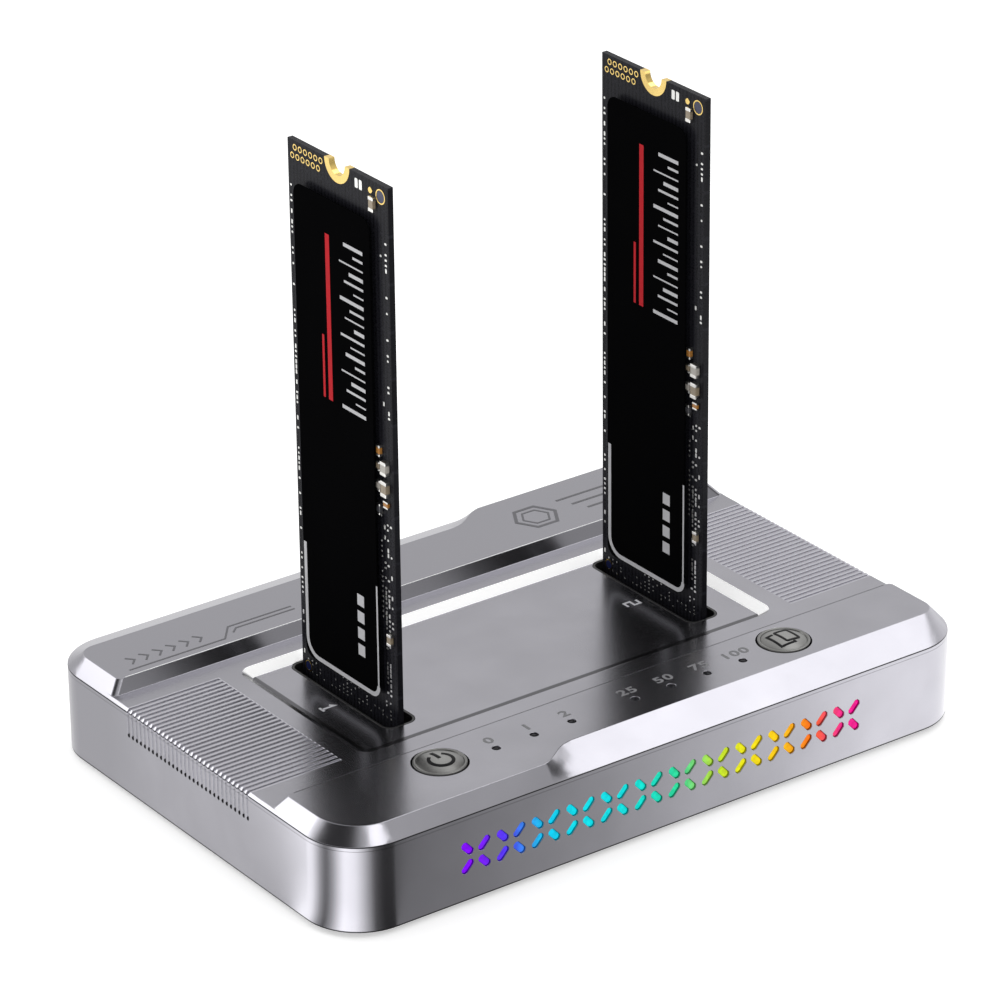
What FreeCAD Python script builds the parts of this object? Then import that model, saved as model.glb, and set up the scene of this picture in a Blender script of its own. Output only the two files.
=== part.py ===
import FreeCAD, Part
import math
import os
from FreeCAD import Vector

# Drive duplicator: a low metal housing with two upright card slots, one for the source drive
# and one for the target drive. Sizes are in millimetres. X runs along the long side, Y from
# front to back and Z up. The origin lies under the middle, on the surface that the feet touch.

# Housing walls and crown
HOUSING_LENGTH = 102.0
HOUSING_DEPTH = 69.4
WALL_CORNER_RADIUS = 8.0
WALL_THICKNESS = 1.6
WALL_HEIGHT = 12.15
CROWN_HEIGHT = 2.05
CAVITY_HEIGHT = 10.2

# Chamfer round the crown: narrow, with a wide stretch at the front and at the back
CHAMFER_RUN = 1.87
WIDE_CHAMFER_RUN = 5.0
SWEEP_START_X = -18.6
SWEEP_END_X = -11.5
SWEEP_FIRST_HANDLE = (2.9, 0.7)
SWEEP_LAST_HANDLE = 3.6
TIGHT_CORNER_RADIUS = 2.6

# Open channel between the front strip and the back bar
CHANNEL_DEPTH = 1.66
CHANNEL_SLOPE_RUN = 1.05
FRONT_STRIP_WIDTH = 14.9
BACK_BAR_WIDTH = 15.4
BAR_CORNER_RADIUS = 1.0

# Shallow recess round the slots
RECESS_LENGTH = 67.6
RECESS_WIDTH = 29.3
RECESS_DEPTH = 1.0
RECESS_WALL_RUN = 1.5
RECESS_CORNER_RADIUS = 2.2
RECESS_CENTRE_Y = 0.25

# Ribs at both ends, which run over the edge and down the side walls
RIB_COUNT = 30
RIB_PITCH = 0.96
RIB_GROOVE_WIDTH = 0.42
RIB_GROOVE_DEPTH = 0.22
RIB_GROOVE_DEPTH_ON_WALL = 0.14
RIB_REACH_ON_TOP = 14.3
RIB_REACH_ON_WALL = 3.5

# Card slots
SLOT_SPACING = 49.8
SLOT_PAIR_OFFSET_X = 1.0
SLOT_OFFSET_Y = 1.85
SLOT_LENGTH = 23.0
SLOT_WIDTH = 5.2
SLOT_CORNER_RADIUS = 1.6
GUIDE_WALL = 0.35
GUIDE_FLANGE_WIDTH = 1.5
GUIDE_FLANGE_THICKNESS = 0.5
GUIDE_CLEARANCE = 0.05

# Light marks in the front wall: a row of crosses, each of four strokes with bevelled ends
CROSS_COUNT = 12
CROSS_PITCH = 5.464
CROSS_ROW_OFFSET_X = -0.68
CROSS_HEIGHT = 6.1
STROKE_LENGTH = 2.2
STROKE_WIDTH = 1.05
STROKE_END_BEVEL = 0.3
STROKE_OFFSET_X = 1.3
STROKE_OFFSET_Z = 1.28
STROKE_TILT = 47.0
WINDOW_THICKNESS = 0.5

# Light bar behind the marks, and the lamp board that its hooks hold
LIGHT_BAR_HEIGHT = 5.8
LIGHT_BAR_BACK_THICKNESS = 0.6
LIGHT_BAR_CLEARANCE = 0.1
LIGHT_BAR_END_LENGTH = 5.0
LIGHT_BAR_HOOK_WIDTH = 1.6
LIGHT_BAR_HOOK_REACH = 1.2
LIGHT_BAR_HOOK_THICKNESS = 0.6
LIGHT_BAR_SEAT_WIDTH = 1.8
LAMP_GAP = 0.3
LAMP_SIZE = (3.0, 0.8, 2.8)
LIGHT_BOARD_THICKNESS = 0.8

# Status lamps in the front strip
STATUS_FROM_FRONT = 9.05
STATUS_HOLE_DIAMETER = 1.2
STATE_LAMP_COUNT = 3
STATE_LAMP_FIRST_X = -20.9
STATE_LAMP_PITCH = 6.0
PROGRESS_LAMP_COUNT = 4
PROGRESS_LAMP_FIRST_X = 1.3
PROGRESS_LAMP_PITCH = 5.93
PIPE_CLEARANCE = 0.05
PIPE_SET_BACK = 0.25
PIPE_RAIL_WIDTH = 3.0
PIPE_RAIL_THICKNESS = 1.0
PIPE_RAIL_END = 1.6
STATUS_LAMP_SIZE = (1.6, 0.8, 0.7)

# Push buttons
BUTTON_FROM_FRONT = 10.3
POWER_BUTTON_X = -28.8
CLONE_BUTTON_X = 27.0
BUTTON_DIAMETER = 7.1
BUTTON_CLEARANCE = 0.2
BUTTON_RIM_HEIGHT = 0.15
BUTTON_RIM_WIDTH = 0.45
BUTTON_DOME_RISE = 0.35
BUTTON_DOME_TOP_DIAMETER = 3.6
BUTTON_COVER_THICKNESS = 1.6
BUTTON_FLANGE_REACH = 1.2
BUTTON_FLANGE_WIDTH = 3.4
BUTTON_FLANGE_THICKNESS = 0.9
BUTTON_STEM_WIDTH = 2.4
BUTTON_REST_GAP = 0.05
BUTTON_TRAVEL = 0.6
SWITCH_SIZE = (6.0, 6.0, 3.5)
PLUNGER_WIDTH = 2.6
PLUNGER_PROUD = 1.1
PLUNGER_DEPTH = 1.2
PLUNGER_CLEARANCE = 0.1

# Base plate, feet and fasteners. Each screw holds the base plate, the main board and a boss.
BASE_THICKNESS = 1.5
BASE_CLEARANCE = 0.15
FOOT_STAND = 0.8
FOOT_DIAMETER = 10.0
FOOT_SIDES = 24
FOOT_INSET_X = 16.0
FOOT_INSET_Y = 12.5
SCREW_DIAMETER = 1.9
SCREW_HEAD_DIAMETER = 3.8
SCREW_HEAD_HEIGHT = 1.1
SCREW_LENGTH = 8.0
SCREW_CLEARANCE = 0.05
SCREW_INSET_X = 5.6
SCREW_INSET_Y = 9.5
SCREW_END_ROOM = 0.5
BOSS_DIAMETER = 5.0
STANDOFF_HEIGHT = 1.3

# Main board and what it carries
BOARD_THICKNESS = 1.2
BOARD_MARGIN = 0.8
BOARD_GAP_FRONT = 0.3
CHIP_MARK = 0.1
BRIDGE_CHIP_SIZE = (9.0, 9.0, 0.9)
BRIDGE_CHIP_FROM_SLOT = 11.0
CONTROL_CHIP_SIZE = (10.0, 10.0, 1.0)
CONTROL_CHIP_Y = -9.0
MEMORY_CHIP_SIZE = (5.0, 4.0, 1.5)
MEMORY_CHIP_GAP = 2.5
INDUCTOR_SIZE = (6.0, 6.0, 2.8)
INDUCTOR_CORNER_BEVEL = 1.0
INDUCTOR_PITCH = 9.0
INDUCTOR_FROM_BACK = 18.0
CAPACITOR_SIZE = (4.3, 7.3, 2.9)
CAPACITOR_FROM_BACK = 8.5
CAPACITOR_OFFSET_X = 10.0
HEADER_X = -2.0
HEADER_SIZE = (8.0, 2.3, 2.5)
HEADER_PIN_WIDTH = 0.64
HEADER_PIN_PITCH = 2.0
HEADER_PIN_COUNT = 4

# Card sockets
SOCKET_LENGTH = 23.6
SOCKET_WIDTH = 4.6
SOCKET_GAP_UNDER_GUIDE = 0.1
CARD_INSERTION = 3.55
CARD_END_CLEARANCE = 0.15
CARD_FACE_CLEARANCE = 0.2
CARD_FLOOR_CLEARANCE = 0.05
SOCKET_CONTACT_REACH = 0.12
SOCKET_CONTACT_HEIGHT = 2.2

# Drive cards
CARD_WIDTH = 22.0
CARD_LENGTH = 80.0
CARD_THICKNESS = 0.8
TONGUE_WIDTH = 19.85
TONGUE_HEIGHT = 4.0
KEY_NOTCH_OFFSET = 6.125
KEY_NOTCH_WIDTH = 1.2
KEY_NOTCH_HEIGHT = 3.5
KEY_CLEARANCE = 0.1
END_NOTCH_RADIUS = 1.75
END_RING_WIDTH = 1.0
FINGER_POSITIONS = 75
FINGER_PITCH = 0.5
FINGER_WIDTH = 0.35
FINGER_NOTCH_GAP = 0.12
FINGER_HEIGHT = 2.4
FINGER_EDGE_GAP = 0.3
PLATING_THICKNESS = 0.04
CHIP_HEIGHT = 0.8
LABEL_THICKNESS = 0.12
LABEL_WIDTH = 16.7
LABEL_OFFSET = 1.25
LABEL_BOTTOM = 8.0
LABEL_HEIGHT = 67.0
LABEL_CORNER_RADIUS = 1.6
CHIP_WIDTH = 14.0
CHIP_GAP = 1.6
MEMORY_HEIGHT = 18.0
CONTROLLER_HEIGHT = 14.0
CACHE_HEIGHT = 9.0

# Small parts on a card: place across, height, width, length and rise of each
CARD_SMALL_PARTS = [
    (-8.6, 42.8, 0.8, 1.6, 0.5),
    (-8.5, 40.8, 0.8, 1.3, 0.5),
    (-10.1, 40.6, 1.2, 1.9, 0.7),
    (-10.1, 37.6, 1.2, 2.2, 0.7),
    (-8.5, 37.9, 0.9, 1.6, 0.5),
    (-10.0, 35.9, 1.0, 1.0, 0.4),
    (-8.4, 34.6, 0.8, 1.6, 0.5),
    (-10.2, 16.4, 0.9, 1.7, 0.5),
    (-8.3, 76.0, 1.0, 2.0, 0.5),
]

# Ports in the back wall
USB_X = -14.0
USB_SIZE = (8.94, 7.35, 3.26)
USB_SHELL_WALL = 0.3
USB_SET_BACK = 0.4
USB_TONGUE = (6.7, 4.5, 0.7)
USB_BASE_DEPTH = 1.6
USB_WALL_CLEARANCE = 0.2
JACK_X = 16.0
JACK_SIZE = (9.0, 12.5, 8.3)
JACK_FLOOR_GAP = 0.2
JACK_NOSE_DIAMETER = 7.8
JACK_BORE_DIAMETER = 6.3
JACK_BORE_DEPTH = 9.5
JACK_PIN_DIAMETER = 2.1
JACK_PIN_SET_BACK = 0.8
JACK_EAR_WIDTH = 1.6
JACK_EAR_THICKNESS = 0.8
JACK_CLEARANCE = 0.2

# Levels and places that follow from the sizes above
Z_BOTTOM = FOOT_STAND
Z_BASE_TOP = Z_BOTTOM + BASE_THICKNESS
Z_BOARD = Z_BASE_TOP + STANDOFF_HEIGHT
Z_BOARD_TOP = Z_BOARD + BOARD_THICKNESS
Z_CEILING = Z_BOTTOM + CAVITY_HEIGHT
Z_WALL_TOP = Z_BOTTOM + WALL_HEIGHT
Z_TOP = Z_WALL_TOP + CROWN_HEIGHT
Z_MIDDLE = Z_TOP - CHANNEL_DEPTH
Z_RECESS = Z_MIDDLE - RECESS_DEPTH
Z_CROSS = Z_BOTTOM + CROSS_HEIGHT
Z_SOCKET_TOP = Z_CEILING - GUIDE_FLANGE_THICKNESS - SOCKET_GAP_UNDER_GUIDE
Z_CARD = Z_SOCKET_TOP - CARD_INSERTION
SIDE_X = HOUSING_LENGTH / 2
FRONT_Y = -HOUSING_DEPTH / 2
BACK_Y = HOUSING_DEPTH / 2
INNER_FRONT_Y = FRONT_Y + WALL_THICKNESS
INNER_BACK_Y = BACK_Y - WALL_THICKNESS
SLOT_X = {
    "source": SLOT_PAIR_OFFSET_X - SLOT_SPACING / 2,
    "target": SLOT_PAIR_OFFSET_X + SLOT_SPACING / 2,
}
SLOT_Y = RECESS_CENTRE_Y + SLOT_OFFSET_Y
BUTTON_X = {"power": POWER_BUTTON_X, "clone": CLONE_BUTTON_X}
BUTTON_Y = FRONT_Y + BUTTON_FROM_FRONT
STATUS_Y = FRONT_Y + STATUS_FROM_FRONT
LIGHT_BAR_BACK_Y = INNER_FRONT_Y + LIGHT_BAR_BACK_THICKNESS
LAMP_BOARD_FRONT_Y = LIGHT_BAR_BACK_Y + LAMP_GAP + LAMP_SIZE[1]
LAMP_BOARD_BACK_Y = LAMP_BOARD_FRONT_Y + LIGHT_BOARD_THICKNESS
BOARD_FRONT_Y = LAMP_BOARD_BACK_Y + LIGHT_BAR_HOOK_THICKNESS + BOARD_GAP_FRONT
BOARD_BACK_Y = INNER_BACK_Y - BOARD_MARGIN
Z_JACK = Z_BASE_TOP + JACK_FLOOR_GAP + JACK_SIZE[2] / 2
Z_USB = Z_BOARD_TOP + USB_SIZE[2] / 2
OVERCUT = 1.0
LENGTH_TOLERANCE = 0.01
SMALLEST_CORNER_RADIUS = 0.2
SMALL_ROUND_SIDES = 12


def box(x0, x1, y0, y1, z0, z1):
    return Part.makeBox(x1 - x0, y1 - y0, z1 - z0, Vector(x0, y0, z0))


def block_on(x, y, z, size):
    """A block of size (length, depth, height) that stands on height z, centred on x and y."""
    length, depth, height = size
    return box(x - length / 2, x + length / 2, y - depth / 2, y + depth / 2, z, z + height)


def pin(x, y, z0, z1, diameter):
    return Part.makeCylinder(diameter / 2, z1 - z0, Vector(x, y, z0))


def block_along(x, y, z0, z1, length, depth):
    return block_on(x, y, z0, (length, depth, z1 - z0))


def small_pin(x, y, z0, z1, diameter, sides=SMALL_ROUND_SIDES):
    """A small round piece or hole, as a prism with few sides."""
    step = 2 * math.pi / sides
    corners = [Vector(x + diameter / 2 * math.cos(step * n), y + diameter / 2 * math.sin(step * n), z0)
               for n in range(sides)]
    return Part.Face(Part.makePolygon(corners + corners[:1])).extrude(Vector(0, 0, z1 - z0))


def pin_along_y(x, z, y0, y1, diameter):
    return Part.makeCylinder(diameter / 2, y1 - y0, Vector(x, y0, z), Vector(0, 1, 0))


def line(a, b):
    return Part.LineSegment(Vector(*a), Vector(*b)).toShape()


def arc(start, centre, end):
    """The short arc from start to end about centre, in a level plane."""
    cx, cy, z = centre
    radius = math.hypot(start[0] - cx, start[1] - cy)
    middle_x = (start[0] + end[0]) / 2 - cx
    middle_y = (start[1] + end[1]) / 2 - cy
    reach = radius / math.hypot(middle_x, middle_y)
    middle = Vector(cx + middle_x * reach, cy + middle_y * reach, z)
    return Part.Arc(Vector(*start), middle, Vector(*end)).toShape()


def rounded_outline(x0, x1, y0, y1, z, radius):
    edges = [
        line((x0 + radius, y0, z), (x1 - radius, y0, z)),
        arc((x1 - radius, y0, z), (x1 - radius, y0 + radius, z), (x1, y0 + radius, z)),
        line((x1, y0 + radius, z), (x1, y1 - radius, z)),
        arc((x1, y1 - radius, z), (x1 - radius, y1 - radius, z), (x1 - radius, y1, z)),
        line((x1 - radius, y1, z), (x0 + radius, y1, z)),
        arc((x0 + radius, y1, z), (x0 + radius, y1 - radius, z), (x0, y1 - radius, z)),
        line((x0, y1 - radius, z), (x0, y0 + radius, z)),
        arc((x0, y0 + radius, z), (x0 + radius, y0 + radius, z), (x0 + radius, y0, z)),
    ]
    return Part.Wire(edges)


def rounded_block(x0, x1, y0, y1, z0, z1, radius):
    face = Part.Face(rounded_outline(x0, x1, y0, y1, z0, radius))
    return face.extrude(Vector(0, 0, z1 - z0))


def profile_along_y(points, y0, y1):
    """A prism from y0 to y1 whose section is a list of (x, z) points."""
    corners = [Vector(x, y0, z) for x, z in points]
    face = Part.Face(Part.makePolygon(corners + corners[:1]))
    return face.extrude(Vector(0, y1 - y0, 0))


def profile_along_x(points, x0, x1):
    """A prism from x0 to x1 whose section is a list of (y, z) points."""
    corners = [Vector(x0, y, z) for y, z in points]
    face = Part.Face(Part.makePolygon(corners + corners[:1]))
    return face.extrude(Vector(x1 - x0, 0, 0))


def turned(points, x, y):
    """A turned piece on the upright axis through x and y, from (radius, z) points."""
    corners = [Vector(x + radius, y, z) for radius, z in points]
    face = Part.Face(Part.makePolygon(corners + corners[:1]))
    return face.revolve(Vector(x, y, 0), Vector(0, 0, 1), 360)


# Housing


def crown_outline(z, side_run, wide_run, tight_radius):
    """The crown's edge at one height. Its second half is the first turned by 180 degrees."""
    left = -SIDE_X + side_run
    right = SIDE_X - side_run
    narrow = FRONT_Y + side_run
    wide = FRONT_Y + wide_run
    radius = WALL_CORNER_RADIUS - side_run
    if wide_run > side_run:
        first_x, first_y = SWEEP_FIRST_HANDLE
        sweep = Part.BezierCurve()
        sweep.setPoles([
            Vector(SWEEP_START_X, narrow, z),
            Vector(SWEEP_START_X + first_x, narrow + first_y, z),
            Vector(SWEEP_END_X - SWEEP_LAST_HANDLE, wide, z),
            Vector(SWEEP_END_X, wide, z),
        ])
        sweep_edge = sweep.toShape()
    else:
        sweep_edge = line((SWEEP_START_X, narrow, z), (SWEEP_END_X, wide, z))
    half = [
        arc((left, narrow + radius, z), (left + radius, narrow + radius, z), (left + radius, narrow, z)),
        line((left + radius, narrow, z), (SWEEP_START_X, narrow, z)),
        sweep_edge,
        line((SWEEP_END_X, wide, z), (right - tight_radius, wide, z)),
        arc((right - tight_radius, wide, z), (right - tight_radius, wide + tight_radius, z),
            (right, wide + tight_radius, z)),
        line((right, wide + tight_radius, z), (right, -narrow - radius, z)),
    ]
    return half + [edge.rotated(Vector(0, 0, 0), Vector(0, 0, 1), 180) for edge in half]


def sloping_side(low, high):
    """The crown's face between two matching edges: flat where both are straight."""
    if isinstance(low.Curve, Part.Line) and isinstance(high.Curve, Part.Line):
        a, b = [vertex.Point for vertex in low.Vertexes]
        c, d = [vertex.Point for vertex in high.Vertexes]
        return Part.Face(Part.makePolygon([a, b, d, c, a]))
    return Part.makeRuledSurface(low, high)


def crown():
    """The chamfered top, with the channel between the front strip and the back bar cut out."""
    foot = crown_outline(Z_WALL_TOP, 0.0, 0.0, WALL_CORNER_RADIUS)
    top = crown_outline(Z_TOP, CHAMFER_RUN, WIDE_CHAMFER_RUN, TIGHT_CORNER_RADIUS)
    faces = [Part.Face(Part.Wire(foot)), Part.Face(Part.Wire(top))]
    faces += [sloping_side(low, high) for low, high in zip(foot, top)]
    shell = Part.makeShell(faces)
    shell.sewShape()
    solid = Part.Solid(shell)
    front_y = FRONT_Y + FRONT_STRIP_WIDTH
    back_y = BACK_Y - BACK_BAR_WIDTH
    slope = CHANNEL_SLOPE_RUN / CHANNEL_DEPTH
    over = OVERCUT * slope
    channel = profile_along_x([
        (front_y - over, Z_TOP + OVERCUT),
        (front_y + CHANNEL_SLOPE_RUN, Z_MIDDLE),
        (back_y - CHANNEL_SLOPE_RUN, Z_MIDDLE),
        (back_y + over, Z_TOP + OVERCUT),
    ], -SIDE_X - OVERCUT, SIDE_X + OVERCUT)
    solid = solid.cut(channel)
    ends = [edge for edge in solid.Edges if joins_levels(edge, Z_MIDDLE, Z_TOP, front_y, back_y)]
    return solid.makeFillet(BAR_CORNER_RADIUS, ends)


def joins_levels(edge, low, high, front_y, back_y):
    """True for an edge that climbs from the channel floor to the top beside the channel."""
    heights = sorted(vertex.Z for vertex in edge.Vertexes)
    if len(heights) != 2:
        return False
    if abs(heights[0] - low) > LENGTH_TOLERANCE or abs(heights[1] - high) > LENGTH_TOLERANCE:
        return False
    reach = CHANNEL_SLOPE_RUN + LENGTH_TOLERANCE
    return all(min(abs(v.Y - front_y), abs(v.Y - back_y)) < reach for v in edge.Vertexes)


def housing_wall(z0, z1, inset):
    return rounded_block(-SIDE_X + inset, SIDE_X - inset, FRONT_Y + inset, BACK_Y - inset,
                         z0, z1, WALL_CORNER_RADIUS - inset)


def recess_cutter():
    x0, x1 = -RECESS_LENGTH / 2, RECESS_LENGTH / 2
    y0, y1 = RECESS_CENTRE_Y - RECESS_WIDTH / 2, RECESS_CENTRE_Y + RECESS_WIDTH / 2
    run = RECESS_WALL_RUN
    floor = rounded_outline(x0 + run, x1 - run, y0 + run, y1 - run, Z_RECESS,
                            RECESS_CORNER_RADIUS - run)
    rim = rounded_outline(x0, x1, y0, y1, Z_MIDDLE, RECESS_CORNER_RADIUS)
    above = rounded_block(x0, x1, y0, y1, Z_MIDDLE, Z_MIDDLE + OVERCUT, RECESS_CORNER_RADIUS)
    return Part.makeLoft([floor, rim], True, True).fuse(above)


def rib_cutters():
    """Grooves over the top, the bevelled edge and, less deep, the wall, on both sides."""
    depth = RIB_GROOVE_DEPTH
    edge_x = SIDE_X - (Z_MIDDLE - Z_WALL_TOP) * CHAMFER_RUN / CROWN_HEIGHT
    inner_x = SIDE_X - RIB_REACH_ON_TOP
    wall_x = SIDE_X - RIB_GROOVE_DEPTH_ON_WALL
    foot_z = Z_WALL_TOP - RIB_REACH_ON_WALL
    groove = [
        (inner_x, Z_MIDDLE - depth),
        (edge_x - depth / 2, Z_MIDDLE - depth),
        (wall_x, Z_WALL_TOP - RIB_GROOVE_DEPTH_ON_WALL / 2),
        (wall_x, foot_z),
        (SIDE_X + OVERCUT, foot_z),
        (SIDE_X + OVERCUT, Z_MIDDLE + OVERCUT),
        (inner_x, Z_MIDDLE + OVERCUT),
    ]
    cutters = []
    first_y = RECESS_CENTRE_Y - RIB_PITCH * (RIB_COUNT - 1) / 2
    for number in range(RIB_COUNT):
        y0 = first_y + number * RIB_PITCH - RIB_GROOVE_WIDTH / 2
        y1 = y0 + RIB_GROOVE_WIDTH
        right = profile_along_y(groove, y0, y1)
        cutters.append(right)
        cutters.append(right.mirror(Vector(0, 0, 0), Vector(1, 0, 0)))
    return cutters


def slot_outline_block(side, z0, z1, inset):
    """The slot's rounded shape as a block, made smaller by inset on every side."""
    x, y = SLOT_X[side], SLOT_Y
    half_width = SLOT_WIDTH / 2 - inset
    half_length = SLOT_LENGTH / 2 - inset
    return rounded_block(x - half_width, x + half_width, y - half_length, y + half_length,
                         z0, z1, max(SLOT_CORNER_RADIUS - inset, SMALLEST_CORNER_RADIUS))


def stroke(x, z, tilt):
    """The cutter for one stroke of a cross, through the thin window of the front wall."""
    half, radius, bevel = STROKE_LENGTH / 2, STROKE_WIDTH / 2, STROKE_END_BEVEL
    corner = [(half, radius - bevel), (half - bevel, radius)]
    ring = corner + [(-u, w) for u, w in reversed(corner)]
    ring += [(-u, -w) for u, w in corner] + [(u, -w) for u, w in reversed(corner)]
    bar = profile_along_y(ring, FRONT_Y - OVERCUT, FRONT_Y + WINDOW_THICKNESS + OVERCUT)
    bar.rotate(Vector(0, 0, 0), Vector(0, 1, 0), -tilt)
    bar.translate(Vector(x, 0, z))
    return bar


def cross_centres():
    first = CROSS_ROW_OFFSET_X - CROSS_PITCH * (CROSS_COUNT - 1) / 2
    return [first + number * CROSS_PITCH for number in range(CROSS_COUNT)]


def light_row():
    """The two ends in X and the two levels in Z of the window behind the row of crosses."""
    centres = cross_centres()
    half = LIGHT_BAR_HEIGHT / 2
    return centres[0] - CROSS_PITCH / 2, centres[-1] + CROSS_PITCH / 2, Z_CROSS - half, Z_CROSS + half


def strokes():
    bars = []
    for centre in cross_centres():
        for side in (-1, 1):
            for level in (-1, 1):
                bars.append(stroke(centre + side * STROKE_OFFSET_X, Z_CROSS + level * STROKE_OFFSET_Z,
                                   side * level * STROKE_TILT))
    return bars


def status_lamp_places():
    places = [STATE_LAMP_FIRST_X + n * STATE_LAMP_PITCH for n in range(STATE_LAMP_COUNT)]
    places += [PROGRESS_LAMP_FIRST_X + n * PROGRESS_LAMP_PITCH for n in range(PROGRESS_LAMP_COUNT)]
    return places


def corner_places(inset_x, inset_y):
    xs = (-SIDE_X + inset_x, SIDE_X - inset_x)
    ys = (FRONT_Y + inset_y, BACK_Y - inset_y)
    return [(x, y) for x in xs for y in ys]


def screw_places():
    return corner_places(SCREW_INSET_X, SCREW_INSET_Y)


def button_cutters(name):
    x = BUTTON_X[name]
    hole = BUTTON_DIAMETER + 2 * BUTTON_CLEARANCE
    pocket_length = BUTTON_DIAMETER + 2 * BUTTON_FLANGE_REACH + 2 * BUTTON_CLEARANCE
    pocket_width = BUTTON_FLANGE_WIDTH + 2 * BUTTON_CLEARANCE
    ceiling = Z_TOP - BUTTON_COVER_THICKNESS
    return [
        pin(x, BUTTON_Y, Z_CEILING - OVERCUT, Z_TOP + OVERCUT, hole),
        block_along(x, BUTTON_Y, Z_CEILING - OVERCUT, ceiling, pocket_length, pocket_width),
    ]


def usb_profile(y0, y1, grow):
    """The port's round-ended shape as a bar along Y, grown on every side."""
    half_height = USB_SIZE[2] / 2 + grow
    half_width = USB_SIZE[0] / 2 + grow
    bar = rounded_block(-half_width, half_width, -half_height, half_height, 0, y1 - y0,
                        half_height - LENGTH_TOLERANCE)
    bar.rotate(Vector(0, 0, 0), Vector(1, 0, 0), -90)
    bar.translate(Vector(USB_X, y0, Z_USB))
    return bar


def upper_housing():
    shell = housing_wall(Z_BOTTOM, Z_WALL_TOP, 0.0).fuse(crown())
    shell = shell.cut(housing_wall(Z_BOTTOM - OVERCUT, Z_CEILING, WALL_THICKNESS))
    shell = shell.fuse([small_pin(x, y, Z_BOARD_TOP, Z_CEILING + OVERCUT, BOSS_DIAMETER)
                        for x, y in screw_places()])
    cutters = [recess_cutter()]
    for x, y in screw_places():
        hole_end = Z_BOTTOM + SCREW_LENGTH + SCREW_END_ROOM
        cutters.append(small_pin(x, y, Z_BOARD_TOP, hole_end, SCREW_DIAMETER))
    for side in SLOT_X:
        cutters.append(slot_outline_block(side, Z_CEILING - OVERCUT, Z_MIDDLE, 0.0))
    for name in BUTTON_X:
        cutters += button_cutters(name)
    for x in status_lamp_places():
        cutters.append(small_pin(x, STATUS_Y, Z_CEILING - OVERCUT, Z_TOP + OVERCUT, STATUS_HOLE_DIAMETER))
    cutters.append(usb_profile(INNER_BACK_Y - OVERCUT, BACK_Y + OVERCUT, USB_WALL_CLEARANCE))
    nose_hole = JACK_NOSE_DIAMETER + 2 * JACK_CLEARANCE
    cutters.append(pin_along_y(JACK_X, Z_JACK, INNER_BACK_Y - OVERCUT, BACK_Y + OVERCUT, nose_hole))
    x0, x1, z0, z1 = light_row()
    cutters.append(box(x0, x1, FRONT_Y + WINDOW_THICKNESS, INNER_FRONT_Y + OVERCUT, z0, z1))
    return shell.cut(cutters).cut(strokes()).cut(rib_cutters()).removeSplitter()


def slot_guides():
    guides = []
    foot = Z_CEILING - GUIDE_FLANGE_THICKNESS
    for side in SLOT_X:
        collar = slot_outline_block(side, foot, Z_RECESS, GUIDE_CLEARANCE)
        flange = block_along(SLOT_X[side], SLOT_Y, foot, Z_CEILING, SLOT_WIDTH + 2 * GUIDE_FLANGE_WIDTH,
                             SLOT_LENGTH + 2 * GUIDE_FLANGE_WIDTH)
        way = slot_outline_block(side, Z_SOCKET_TOP, Z_MIDDLE, GUIDE_WALL)
        guides.append(collar.fuse(flange).cut(way).removeSplitter())
    return Part.makeCompound(guides)


# Base plate, feet and fasteners


def base_screws():
    """Screws that point up, with their heads sunk level with the base plate's underside."""
    screws = []
    for x, y in screw_places():
        head = small_pin(x, y, Z_BOTTOM, Z_BOTTOM + SCREW_HEAD_HEIGHT, SCREW_HEAD_DIAMETER)
        shaft = small_pin(x, y, Z_BOTTOM, Z_BOTTOM + SCREW_LENGTH, SCREW_DIAMETER)
        screws.append(head.fuse(shaft).removeSplitter())
    return Part.makeCompound(screws)


def base_plate():
    plate = housing_wall(Z_BOTTOM, Z_BASE_TOP, WALL_THICKNESS + BASE_CLEARANCE)
    plate = plate.fuse([small_pin(x, y, Z_BASE_TOP, Z_BOARD, BOSS_DIAMETER) for x, y in screw_places()])
    sink = SCREW_HEAD_DIAMETER + 2 * SCREW_CLEARANCE
    hole = SCREW_DIAMETER + 2 * SCREW_CLEARANCE
    cutters = []
    for x, y in screw_places():
        cutters.append(small_pin(x, y, Z_BOTTOM, Z_BOTTOM + SCREW_HEAD_HEIGHT, sink))
        cutters.append(small_pin(x, y, Z_BOTTOM, Z_BOARD, hole))
    return plate.cut(cutters).removeSplitter()


def rubber_feet():
    feet = [small_pin(x, y, 0, FOOT_STAND, FOOT_DIAMETER, FOOT_SIDES)
            for x, y in corner_places(FOOT_INSET_X, FOOT_INSET_Y)]
    return Part.makeCompound(feet)


# Main board


def main_board():
    """The board follows the cavity's shape and stops behind the lamp board."""
    inset = WALL_THICKNESS + BOARD_MARGIN
    board = housing_wall(Z_BOARD, Z_BOARD_TOP, inset)
    front = box(-SIDE_X, SIDE_X, FRONT_Y, BOARD_FRONT_Y, Z_BOARD, Z_BOARD_TOP)
    half = JACK_SIZE[0] / 2 + JACK_CLEARANCE
    notch_y = INNER_BACK_Y - JACK_SIZE[1] - JACK_CLEARANCE
    notch = box(JACK_X - half, JACK_X + half, notch_y, BACK_Y, Z_BOARD, Z_BOARD_TOP)
    holes = [small_pin(x, y, Z_BOARD, Z_BOARD_TOP, SCREW_DIAMETER + 2 * SCREW_CLEARANCE)
             for x, y in screw_places()]
    return board.cut([front, notch] + holes)


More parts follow.
